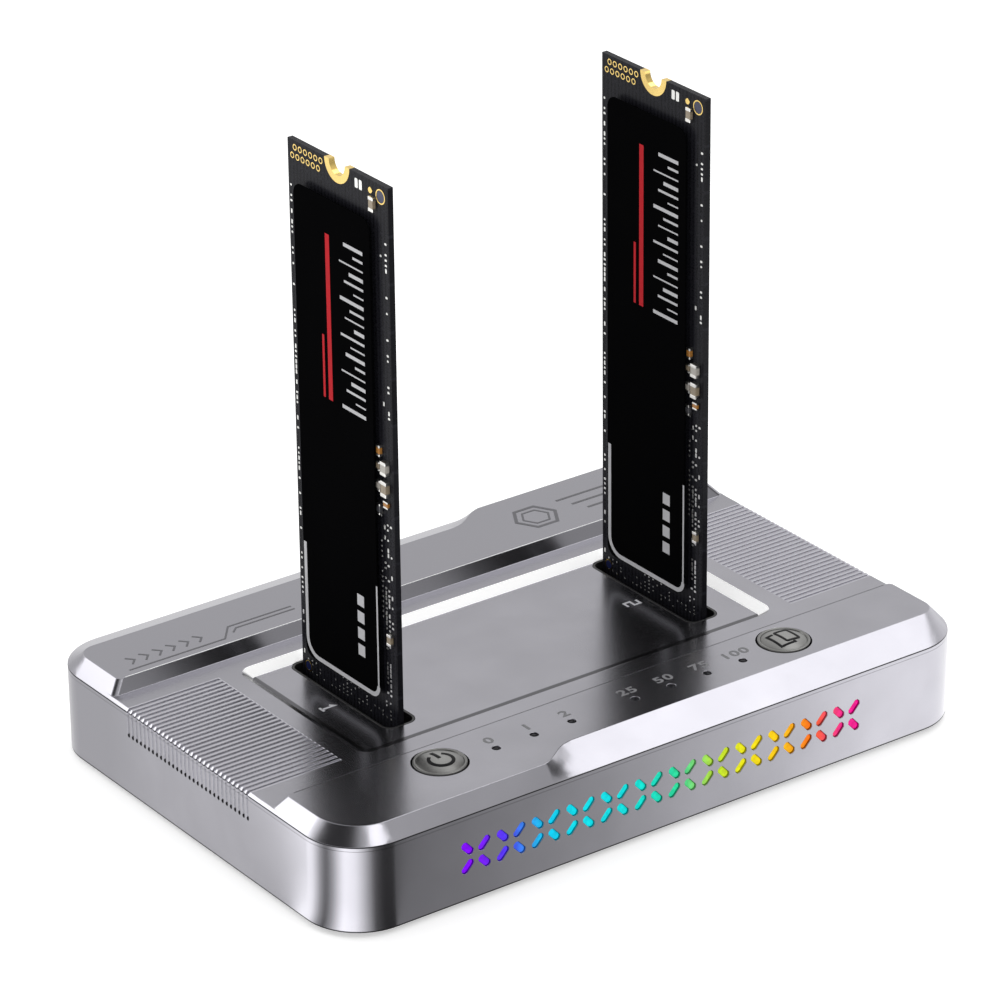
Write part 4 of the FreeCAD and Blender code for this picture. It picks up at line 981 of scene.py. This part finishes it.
def make_label_print(side, body, finishes, sizes):
    """A silver line round the lower end, plain squares, and a tick strip with a red bar near the top."""
    plane = label_plane(side, corners(side + "_drive_label")[0].x)
    rise = sizes.print_rise / MM
    mesh = bmesh.new()
    left_bend = circle(LINE_LEFT + LEFT_BEND, LINE_FOOT + LEFT_BEND, LEFT_BEND, 8, math.pi, math.pi / 2)
    right_bend = circle(LINE_RIGHT - RIGHT_BEND, LINE_FOOT + RIGHT_BEND, RIGHT_BEND, 6, -math.pi / 2,
                        math.pi / 2)
    add_band(mesh, plane.at, [(LINE_LEFT, LEFT_END)] + left_bend + right_bend, 0.62, rise)
    add_band(mesh, plane.at, [right_bend[-1], (LINE_RIGHT, RIGHT_END)], 0.3, rise)
    for n in range(TICKS):
        height = TICKS_FOOT + TICK_PITCH * n
        reach = TICK_LENGTHS[(n * 7) % 4]
        tick = [(TICKS_EDGE - reach, height), (TICKS_EDGE, height)]
        add_band(mesh, plane.at, tick, TICK_WIDTHS[n % 3], rise)
    for n in range(SQUARES):
        foot = SQUARES_FOOT + SQUARE_PITCH * n
        square = [(SQUARES_MIDDLE, foot), (SQUARES_MIDDLE, foot + SQUARE_HEIGHT)]
        add_band(mesh, plane.at, square, SQUARE_WIDTH, rise)
    silver = grained(side + "_silver_print", finishes.silver_print, 0.0, 0.5, 0.1, shine=0.1)
    make_piece(side + "_label_lines", mesh, body, "label_film", silver)
    red = bmesh.new()
    for middle, top, width in RED_BARS:
        add_band(red, plane.at, [(middle, RED_FOOT), (middle, top)], width, rise)
    paint = grained(side + "_red_print", finishes.red_print, 0.0, 0.5, 0.1, shine=0.05)
    make_piece(side + "_label_bar", red, body, "label_film", paint)


# Small parts of a card: place across from the middle towards the back, height, width, length, rise, kind
SMALL_PARTS = [
    (-8.6, 42.8, 0.8, 1.6, 0.5, "amber"),
    (-8.5, 40.8, 0.8, 1.3, 0.5, "tan"),
    (-10.1, 40.6, 1.2, 1.9, 0.7, "pale"),
    (-10.1, 37.6, 1.2, 2.2, 0.7, "tan"),
    (-8.5, 37.9, 0.9, 1.6, 0.5, "pale"),
    (-10.0, 35.9, 1.0, 1.0, 0.4, "amber"),
    (-8.4, 34.6, 0.8, 1.6, 0.5, "grey"),
    (-10.2, 16.4, 0.9, 1.7, 0.5, "tan"),
    (-8.3, 76.0, 1.0, 2.0, 0.5, "tan"),
]
CERAMICS = {"amber": (0.55, 0.24, 0.05), "tan": (0.36, 0.29, 0.20), "pale": (0.55, 0.52, 0.47),
            "grey": (0.10, 0.10, 0.11)}


def add_faced(mesh, index, plane, outline, high, bevel):
    """A plate that takes the material with this index."""
    first = len(mesh.faces)
    add_plate(mesh, plane, outline, 0.0, high, bevel)
    mesh.faces.ensure_lookup_table()
    for face in mesh.faces[first:]:
        face.material_index = index


def make_small_parts(side, body):
    """Ceramic parts with tinned ends, in place of the plain blocks."""
    surface = corners(side + "_drive_board")[0].x
    plane = card_plane(side, surface)
    mesh = bmesh.new()
    kinds = sorted(CERAMICS)
    for across, height, width, length, rise, kind in SMALL_PARTS:
        u, v = -(across + width / 2), height + length / 2
        middle = rounded(u, v, width * 0.94, length * 0.56, 0.05, 2)
        add_faced(mesh, kinds.index(kind), plane, middle, rise - 0.03, 0.05)
        for end in (-1, 1):
            tip = rounded(u, v + end * length * 0.38, width, length * 0.24, 0.06, 2)
            add_faced(mesh, len(kinds), plane, tip, rise, 0.06)
    materials = [grained(side + "_ceramic_" + kind, CERAMICS[kind], 0.0, 0.35, 0.1) for kind in kinds]
    materials.append(grained(side + "_tin", (0.70, 0.69, 0.66), 1.0, 0.32, 0.08))
    piece = make_piece(side + "_ceramic_parts", mesh, body, "capacitor_tan", *materials)
    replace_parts(piece, side + "_drive_small_parts")


# Columns of tinned pads: place across, then the lowest and highest place and the share of places filled
PAD_COLUMNS = {
    8.0: (20.0, 35.0, 0.5), 8.8: (8.5, 33.0, 0.62), 9.5: (9.0, 33.5, 0.6), 10.2: (19.0, 34.0, 0.45),
    9.2: (46.0, 74.0, 0.16), 10.3: (45.0, 73.0, 0.34), -10.45: (7.5, 74.0, 0.5),
}
PAD_PITCH = 0.72
PAD_SIZES = ((0.32, 0.3), (0.3, 0.62), (0.42, 0.3))
# The field of test points below the label: its counts, first point and pitches, and the share of points made
POINT_ROWS, POINT_COLUMNS = 6, 22
POINT_FIRST, POINT_PITCH = (-9.6, 4.9), (0.9, 0.58)
POINT_SHARE = 0.36
# The two rows of plated holes at the upper end: height, and place of the first hole to the left of the middle
HOLE_ROWS = ((79.1, 3.6), (77.9, 4.2))
HOLES_IN_ROW, HOLE_PITCH = 6, 1.15
# Round marks with a gold ring: place, radius and width of the ring, and radius of the mask inside it
RINGED_MARKS = (((9.4, 78.4), 0.92, 0.16, 0.78), ((-9.6, 5.6), 0.72, 0.14, 0.6))


def make_card_pads(side, body, finishes):
    """Tinned pads, test points and plated holes on the free parts of a card."""
    surface = corners(side + "_drive_board")[0].x
    plane = card_plane(side, surface)
    pick = random.Random(7)
    tin = bmesh.new()
    for column, (low, high, share) in PAD_COLUMNS.items():
        height = low
        while height < high:
            if pick.random() < share:
                width, length = pick.choice(PAD_SIZES)
                add_plate(tin, plane, rounded(column, height, width, length, 0.08, 2), 0.0, 0.05, 0.02)
            height += PAD_PITCH
    for row in range(POINT_ROWS):
        for n in range(POINT_COLUMNS):
            u = POINT_FIRST[0] + n * POINT_PITCH[0]
            v = POINT_FIRST[1] + row * POINT_PITCH[1]
            if pick.random() < POINT_SHARE:
                add_plate(tin, plane, circle(u, v, 0.14, 8), 0.0, 0.04, 0.02)
    for u in (4.2, 5.1):
        add_plate(tin, plane, rounded(u, 78.6, 0.62, 1.3, 0.1, 2), 0.0, 0.06, 0.03)
    pad_tin = grained(side + "_pad_tin", (0.72, 0.72, 0.70), 1.0, 0.34, 0.08)
    make_piece(side + "_tin_pads", tin, body, "black_board", pad_tin)
    gold = bmesh.new()
    for row, first in HOLE_ROWS:
        for n in range(HOLES_IN_ROW):
            add_band(gold, plane.at, circle(-first - HOLE_PITCH * n, row, 0.36, 14), 0.14, 0.04, closed=True)
    add_plate(gold, plane, circle(7.2, 78.6, 0.42, 20), 0.0, 0.05, 0.02)
    blue = bmesh.new()
    for place, ring_radius, width, mask_radius in RINGED_MARKS:
        add_band(gold, plane.at, circle(*place, ring_radius, 28), width, 0.04, closed=True)
        add_plate(blue, plane, circle(*place, mask_radius, 24), 0.0, 0.03)
    ring_gold = grained(side + "_ring_gold", finishes.gold, 1.0, 0.28, 0.1)
    make_piece(side + "_plated_holes", gold, body, "black_board", ring_gold)
    blue_mask = grained(side + "_blue_mask", (0.01, 0.015, 0.07), 0.0, 0.3, 0.1)
    make_piece(side + "_hole_masks", blue, body, "black_board", blue_mask)


# Base, ports and the pieces inside


def make_base():
    dress("base_plate", grained("base_aluminium", (0.20, 0.20, 0.215), 1.0, 0.42, 0.15))
    soften("base_plate", 0.12)
    rubber = grained("foot_rubber", (0.018, 0.018, 0.018), 0.0, 0.75, 0.25, depth=0.02, strength=0.5)
    dress("rubber_feet", rubber)
    soften("rubber_feet", 0.18, 50.0)
    make_screw_heads()


# From a screw's middle to the outermost edge of its head, and half the length and width of its cross
SCREW_INSET = 1.9
CROSS_REACH, CROSS_HALF = 0.95, 0.16


def make_screw_heads():
    """Round heads with a cross of painted shade where the recess would be, in place of the plain screws."""
    low, high = corners("base_screws")
    a, b = CROSS_REACH, CROSS_HALF
    star = [(-a, -b), (-b, -b), (-b, -a), (b, -a), (b, -b), (a, -b), (a, b), (b, b), (b, a), (-b, a), (-b, b),
            (-a, b)]
    mesh = bmesh.new()
    cross = bmesh.new()
    z = low.z
    for x in (low.x + SCREW_INSET, high.x - SCREW_INSET):
        for y in (low.y + SCREW_INSET, high.y - SCREW_INSET):
            add_turned(mesh, x, y, [(1.55, z), (1.75, z + 0.04), (1.88, z + 0.16), (1.88, z + 1.08),
                                    (0.93, z + 1.1), (0.93, high.z - 0.3), (0.7, high.z)], 40)
            add_plate(cross, Plane((x, y, z), (1, 0, 0), (0, -1, 0)), star, 0.0, 0.015)
    steel = grained("screw_steel", (0.28, 0.28, 0.29), 1.0, 0.34, 0.1)
    piece = make_piece("screw_heads", mesh, "housing", "screw_steel", steel, smooth=35)
    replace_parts(piece, "base_screws")
    # Painted shade: a flat black cross stands in for the shadowed cross recess.
    recess = grained("cross_shadow", (0.01, 0.01, 0.01), 0.0, 0.6, 0.1)
    make_piece("screw_crosses", cross, "housing", "screw_steel", recess)


def make_ports():
    dress("usb_port_shell", grained("port_steel", (0.55, 0.55, 0.56), 1.0, 0.26, 0.12, stretch=(1, 8, 1)))
    soften("usb_port_shell", 0.07)
    dress("usb_port_tongue", grained("tongue_plastic", (0.016, 0.016, 0.017), 0.0, 0.45, 0.1))
    soften("usb_port_tongue", 0.06)
    dress("power_jack", grained("jack_plastic", (0.02, 0.02, 0.021), 0.0, 0.5, 0.2))
    soften("power_jack", 0.12)
    dress("power_jack_pin", grained("pin_nickel", (0.62, 0.60, 0.55), 1.0, 0.22, 0.1))
    soften("power_jack_pin", 0.15)


def make_inside(finishes):
    board = card_mask("green_mask", (0.012, 0.075, 0.035))
    for node in ("main_board", "light_board"):
        dress(node, board)
    resin = grained("chip_resin", (0.02, 0.02, 0.022), 0.0, 0.5, 0.1)
    for node in ("bridge_chips", "control_chips"):
        dress(node, resin)
        soften(node, 0.06)
    dress("power_inductors", grained("ferrite", (0.07, 0.07, 0.072), 0.0, 0.6, 0.2))
    dress("capacitors", grained("tantalum_case", (0.42, 0.27, 0.08), 0.0, 0.4, 0.2))
    dress("status_lamps", grained("small_lamp", (0.75, 0.75, 0.68), 0.0, 0.3, 0.2))
    black = grained("black_plastic", (0.016, 0.016, 0.017), 0.0, 0.48, 0.15)
    for node in ["board_header", "slot_guides"] + [key + part for key in KEYS
                                                   for part in ("_switch", "_switch_plunger")]:
        dress(node, black)
    gold = grained("spring_gold", finishes.gold, 1.0, 0.26, 0.1)
    for side in SIDES:
        dress(side + "_socket", black)
        soften(side + "_socket", 0.08)
        dress(side + "_socket_contacts", gold)
    for node in ("power_inductors", "capacitors", "status_lamps", "slot_guides"):
        soften(node, 0.05)


# Stage


def make_camera(stage):
    data = bpy.data.cameras.new("camera")
    data.lens = stage.lens
    data.sensor_width = 36.0
    data.clip_start, data.clip_end = 0.01, 50.0
    camera = bpy.data.objects.new("camera", data)
    heading, tilt, roll = stage.heading, stage.tilt, stage.roll
    ahead = Vector((math.sin(heading), math.cos(heading), 0.0))
    forward = ahead * math.cos(tilt) - Vector((0.0, 0.0, math.sin(tilt)))
    level = Vector((math.cos(heading), -math.sin(heading), 0.0))
    up = level.cross(forward)
    right = level * math.cos(roll) + up * math.sin(roll)
    top = up * math.cos(roll) - level * math.sin(roll)
    camera.matrix_world = Matrix.Translation(stage.camera_place) @ Matrix(
        (right, top, -forward)).transposed().to_4x4()
    bpy.context.scene.collection.objects.link(camera)
    bpy.context.scene.camera = camera


def make_light(name, place, target, size, power):
    data = bpy.data.lights.new(name, "AREA")
    data.shape = "RECTANGLE"
    data.size, data.size_y = size
    data.energy = power
    lamp = bpy.data.objects.new(name, data)
    lamp.location = place
    lamp.rotation_euler = (Vector(target) - Vector(place)).to_track_quat("-Z", "Y").to_euler()
    lamp.visible_camera = False
    bpy.context.scene.collection.objects.link(lamp)


def seen_directly(tree):
    """1 for what the camera, a reflection or a clear piece sees, and 0 for light on surfaces."""
    path = tree.nodes.new("ShaderNodeLightPath")
    mirror = calc(tree, "MAXIMUM", path.outputs["Is Glossy Ray"], path.outputs["Is Transmission Ray"])
    return calc(tree, "MAXIMUM", path.outputs["Is Camera Ray"], mirror)


# Dimmer patches of the room: direction, cosines of the patch's edge and core, and brightness in the core
LEFT_PATCH = ((-0.60, 0.0, 0.80), 0.80, 0.92, 0.05)
RIGHT_PATCH = ((0.80, -0.22, 0.56), 0.945, 0.985, 0.12)
# The brighter right side: how far right a direction points where it begins and is full, and its level
RIGHT_SIDE = (0.70, 0.84)
RIGHT_BRIGHTNESS = 1.5
# How much a direction's height counts as depth, and the depths where the front tone ends and white begins
HEIGHT_SHARE = 0.8
DEPTH_SPAN = (-0.5, 0.4)


def make_room(stage):
    """White behind the object and dimmer in front of it, as in a studio with a pale sweep."""
    world = bpy.data.worlds.new("studio")
    world.use_nodes = True
    bpy.context.scene.world = world
    tree = world.node_tree
    tree.nodes.clear()
    output = tree.nodes.new("ShaderNodeOutputWorld")
    mix = tree.nodes.new("ShaderNodeMixShader")
    backdrop, light = tree.nodes.new("ShaderNodeBackground"), tree.nodes.new("ShaderNodeBackground")
    backdrop.inputs[0].default_value = (1.0, 1.0, 1.0, 1.0)
    coordinates = tree.nodes.new("ShaderNodeTexCoord")
    way = tree.nodes.new("ShaderNodeSeparateXYZ")
    tree.links.new(coordinates.outputs["Generated"], way.inputs[0])
    path = tree.nodes.new("ShaderNodeLightPath")
    raised = calc(tree, "ADD", way.outputs[1], calc(tree, "MULTIPLY", way.outputs[2], HEIGHT_SHARE))
    depth = spread(tree, raised, *DEPTH_SPAN, stage.front_tone, 1.0)
    patches = [dim_patch(tree, coordinates, *patch) for patch in (LEFT_PATCH, RIGHT_PATCH)]
    right = spread(tree, way.outputs[0], *RIGHT_SIDE, 1.0, RIGHT_BRIGHTNESS)
    tone = both(tree, depth, *patches, right)
    tree.links.new(calc(tree, "MAXIMUM", tone, path.outputs["Is Camera Ray"]), backdrop.inputs[1])
    light.inputs[0].default_value = (1.0, 1.0, 1.0, 1.0)
    light.inputs[1].default_value = stage.sky
    tree.links.new(seen_directly(tree), mix.inputs[0])
    tree.links.new(light.outputs[0], mix.inputs[1])
    tree.links.new(backdrop.outputs[0], mix.inputs[2])
    tree.links.new(mix.outputs[0], output.inputs[0])


def dim_patch(tree, coordinates, centre, edge, core, level):
    """A round dimmer patch of the room: 1 outside its edge, and level in its core."""
    shade = tree.nodes.new("ShaderNodeVectorMath")
    shade.operation = "DOT_PRODUCT"
    tree.links.new(coordinates.outputs["Generated"], shade.inputs[0])
    shade.inputs[1].default_value = centre
    return spread(tree, shade.outputs["Value"], edge, core, 1.0, level)


# Brightness of the floor in the metal's reflections, along the front wall and round its left corner
FRONT_TONES = [(0.0, 0.27), (0.13, 0.31), (0.35, 0.48), (0.66, 0.88), (0.84, 1.3), (1.0, 1.3)]
CORNER_TONES = [(0.0, 0.72), (0.05, 0.85), (0.13, 1.7), (0.21, 1.6), (0.32, 0.5), (0.39, 0.14), (0.47, 0.6),
                (0.585, 1.9), (0.70, 1.6), (0.81, 0.7), (0.89, 0.12), (0.98, 0.04)]
CORNER_X = -SIDE + CORNER_RADIUS
CORNER_Y = FRONT + CORNER_RADIUS
# How far to the right of its place on the wall a mirrored point lies, for each length in front of the wall
WALL_SLANT = 0.69
# The angle round the corner, from the left, at which a mirrored point lies straight out, the swing of the
# others for each radian, and the angles that the corner's tones span
CORNER_FACING = 0.85
CORNER_SWING = 4.5
CORNER_ANGLES = (-1.3, 1.8)
PLAIN_FLOOR_TONE = (0.70, 0.70, 0.71)
# How much the floor glows where it is seen directly
FLOOR_GLOW = 0.46


def toned(tree, value, tones):
    """Grey tones along a value from 0 to 1. Each is a place and a brightness."""
    return ramp_colours(tree, value, [(position, (tone, tone, tone)) for position, tone in tones])


def floor_tone(tree, x, y):
    """The tones by the place on the front wall or its corner that mirrors each point of the floor."""
    ahead = calc(tree, "SUBTRACT", y, FRONT * MM)
    on_wall = calc(tree, "ADD", x, calc(tree, "MULTIPLY", ahead, WALL_SLANT))
    along = toned(tree, spread(tree, on_wall, CORNER_X * MM, SIDE * MM), FRONT_TONES)
    left = calc(tree, "SUBTRACT", CORNER_X * MM, x)
    near = calc(tree, "SUBTRACT", CORNER_Y * MM, y)
    turn = calc(tree, "ARCTAN2", near, left)
    off_facing = calc(tree, "MULTIPLY", calc(tree, "SUBTRACT", turn, CORNER_FACING), CORNER_SWING * MM)
    swing = calc(tree, "DIVIDE", off_facing, distance(tree, left, near))
    corner = toned(tree, spread(tree, calc(tree, "ADD", turn, swing), *CORNER_ANGLES), CORNER_TONES)
    in_front = both(tree, calc(tree, "GREATER_THAN", x, CORNER_X * MM),
                    calc(tree, "GREATER_THAN", on_wall, CORNER_X * MM))
    past_front = spread(tree, y, FRONT * MM, -5 * MM)
    behind = both(tree, calc(tree, "GREATER_THAN", x, CORNER_X * MM), past_front)
    return blend(tree, behind, blend(tree, in_front, corner, along), PLAIN_FLOOR_TONE)


def make_floor(stage):
    mesh = bmesh.new()
    bmesh.ops.create_grid(mesh, x_segments=4, y_segments=4, size=3.0)
    data = bpy.data.meshes.new("floor")
    mesh.to_mesh(data)
    mesh.free()
    material, tree, shader = start("pale_floor", (0.86, 0.86, 0.86), 0.0, 0.9)
    shader.inputs["Emission Color"].default_value = (1.0, 1.0, 1.0, 1.0)
    glow = calc(tree, "MULTIPLY", seen_directly(tree), FLOOR_GLOW)
    tree.links.new(glow, shader.inputs["Emission Strength"])
    _, x, y, _ = places(tree)
    tone = floor_tone(tree, x, y)
    mirror = tree.nodes.new("ShaderNodeEmission")
    tree.links.new(tone, mirror.inputs[0])
    mirror.inputs[1].default_value = stage.floor_tone
    path = tree.nodes.new("ShaderNodeLightPath")
    mix = tree.nodes.new("ShaderNodeMixShader")
    tree.links.new(path.outputs["Is Glossy Ray"], mix.inputs[0])
    tree.links.new(shader.outputs[0], mix.inputs[1])
    tree.links.new(mirror.outputs[0], mix.inputs[2])
    tree.links.new(mix.outputs[0], tree.nodes["Material Output"].inputs[0])
    data.materials.append(material)
    floor = bpy.data.objects.new("floor", data)
    bpy.context.scene.collection.objects.link(floor)


# The lights: place, point that each faces, and width and height, in metres
LIGHTS = {
    "top_light": ((0.45, 0.12, 0.70), (0, 0, 0.01), (0.46, 0.34)),
    "front_light": ((0.04, -0.454, 0.567), (-0.04, -0.03, 0.01), (0.32, 0.18)),
    "back_light": ((-0.27, 0.58, 0.47), (0, 0, 0.01), (0.80, 0.50)),
    "edge_light": ((-0.13, 0.112, 0.079), (-0.05, 0.002, 0.014), (0.09, 0.04)),
}


def make_stage(stage):
    make_camera(stage)
    make_room(stage)
    make_floor(stage)
    powers = (stage.key_power, stage.front_power, stage.fill_power, stage.edge_power)
    for (name, (place, target, size)), power in zip(LIGHTS.items(), powers):
        make_light(name, place, target, size, power)
    bpy.context.scene.view_settings.view_transform = "Standard"


# Operators


class DUPLICATOR_OT_stage(bpy.types.Operator):
    """Sets the camera, the room, the floor and the lights"""
    bl_idname = "duplicator.stage"
    bl_label = "Stage"

    def execute(self, context):
        make_stage(context.scene.duplicator_stage)
        return {"FINISHED"}


class DUPLICATOR_OT_housing(bpy.types.Operator):
    """Finishes the metal housing and adds its engraved lines, drawn as painted groove shadow, its lines of
    painted highlight and shade on the channel's edges, and slot numbers
    """
    bl_idname = "duplicator.housing"
    bl_label = "Housing"

    def execute(self, context):
        make_housing(context.scene.duplicator_finishes, context.scene.duplicator_sizes)
        return {"FINISHED"}


class DUPLICATOR_OT_light_row(bpy.types.Operator):
    """Adds the coloured strokes in the front wall"""
    bl_idname = "duplicator.light_row"
    bl_label = "Light row"

    def execute(self, context):
        make_light_row(context.scene.duplicator_finishes, context.scene.duplicator_sizes)
        return {"FINISHED"}


class DUPLICATOR_OT_buttons(bpy.types.Operator):
    """Adds the domed button caps and their signs"""
    bl_idname = "duplicator.buttons"
    bl_label = "Buttons"

    def execute(self, context):
        for name in KEYS:
            make_button(name, context.scene.duplicator_finishes)
        return {"FINISHED"}


class DUPLICATOR_OT_status_row(bpy.types.Operator):
    """Adds the numbers and dark windows of the status lamps"""
    bl_idname = "duplicator.status_row"
    bl_label = "Status row"

    def execute(self, context):
        make_status_row(context.scene.duplicator_finishes, context.scene.duplicator_sizes)
        return {"FINISHED"}


class DUPLICATOR_OT_cards(bpy.types.Operator):
    """Finishes the two cards and adds their prints, ceramic parts and pads"""
    bl_idname = "duplicator.cards"
    bl_label = "Cards"

    def execute(self, context):
        for side in SIDES:
            make_card(side, context.scene.duplicator_finishes, context.scene.duplicator_sizes)
        return {"FINISHED"}


class DUPLICATOR_OT_base(bpy.types.Operator):
    """Finishes the base plate and feet and adds the screw heads"""
    bl_idname = "duplicator.base"
    bl_label = "Base"

    def execute(self, context):
        make_base()
        return {"FINISHED"}


class DUPLICATOR_OT_ports(bpy.types.Operator):
    """Finishes the two ports in the back wall"""
    bl_idname = "duplicator.ports"
    bl_label = "Ports"

    def execute(self, context):
        make_ports()
        return {"FINISHED"}


class DUPLICATOR_OT_inside(bpy.types.Operator):
    """Finishes the boards and other pieces inside the housing"""
    bl_idname = "duplicator.inside"
    bl_label = "Inside"

    def execute(self, context):
        make_inside(context.scene.duplicator_finishes)
        return {"FINISHED"}


class DUPLICATOR_PT_panel(bpy.types.Panel):
    """Lists the steps and the values they use"""
    bl_idname = "DUPLICATOR_PT_panel"
    bl_label = "Drive duplicator"
    bl_space_type = "VIEW_3D"
    bl_region_type = "UI"
    bl_category = "Duplicator"

    def draw(self, context):
        for step in STEPS:
            self.layout.operator(step.bl_idname)
        for group in (context.scene.duplicator_finishes, context.scene.duplicator_sizes,
                      context.scene.duplicator_stage):
            box = self.layout.box()
            for key in group.__annotations__:
                box.prop(group, key)


STEPS = (DUPLICATOR_OT_stage, DUPLICATOR_OT_housing, DUPLICATOR_OT_light_row, DUPLICATOR_OT_buttons,
         DUPLICATOR_OT_status_row, DUPLICATOR_OT_cards, DUPLICATOR_OT_base, DUPLICATOR_OT_ports,
         DUPLICATOR_OT_inside)
GROUPS = {
    "duplicator_finishes": DUPLICATOR_PG_finishes,
    "duplicator_sizes": DUPLICATOR_PG_sizes,
    "duplicator_stage": DUPLICATOR_PG_stage,
}


def register():
    for group in GROUPS.values():
        bpy.utils.register_class(group)
    for step in STEPS:
        bpy.utils.register_class(step)
    bpy.utils.register_class(DUPLICATOR_PT_panel)
    for key, group in GROUPS.items():
        setattr(bpy.types.Scene, key, PointerProperty(type=group))


def unregister():
    for key in GROUPS:
        delattr(bpy.types.Scene, key)
    bpy.utils.unregister_class(DUPLICATOR_PT_panel)
    for step in reversed(STEPS):
        bpy.utils.unregister_class(step)
    for group in reversed(list(GROUPS.values())):
        bpy.utils.unregister_class(group)


def main():
    register()
    bpy.ops.duplicator.stage()
    bpy.ops.duplicator.housing()
    bpy.ops.duplicator.light_row()
    bpy.ops.duplicator.buttons()
    bpy.ops.duplicator.status_row()
    bpy.ops.duplicator.cards()
    bpy.ops.duplicator.base()
    bpy.ops.duplicator.ports()
    bpy.ops.duplicator.inside()


if __name__ == "__main__":
    main()
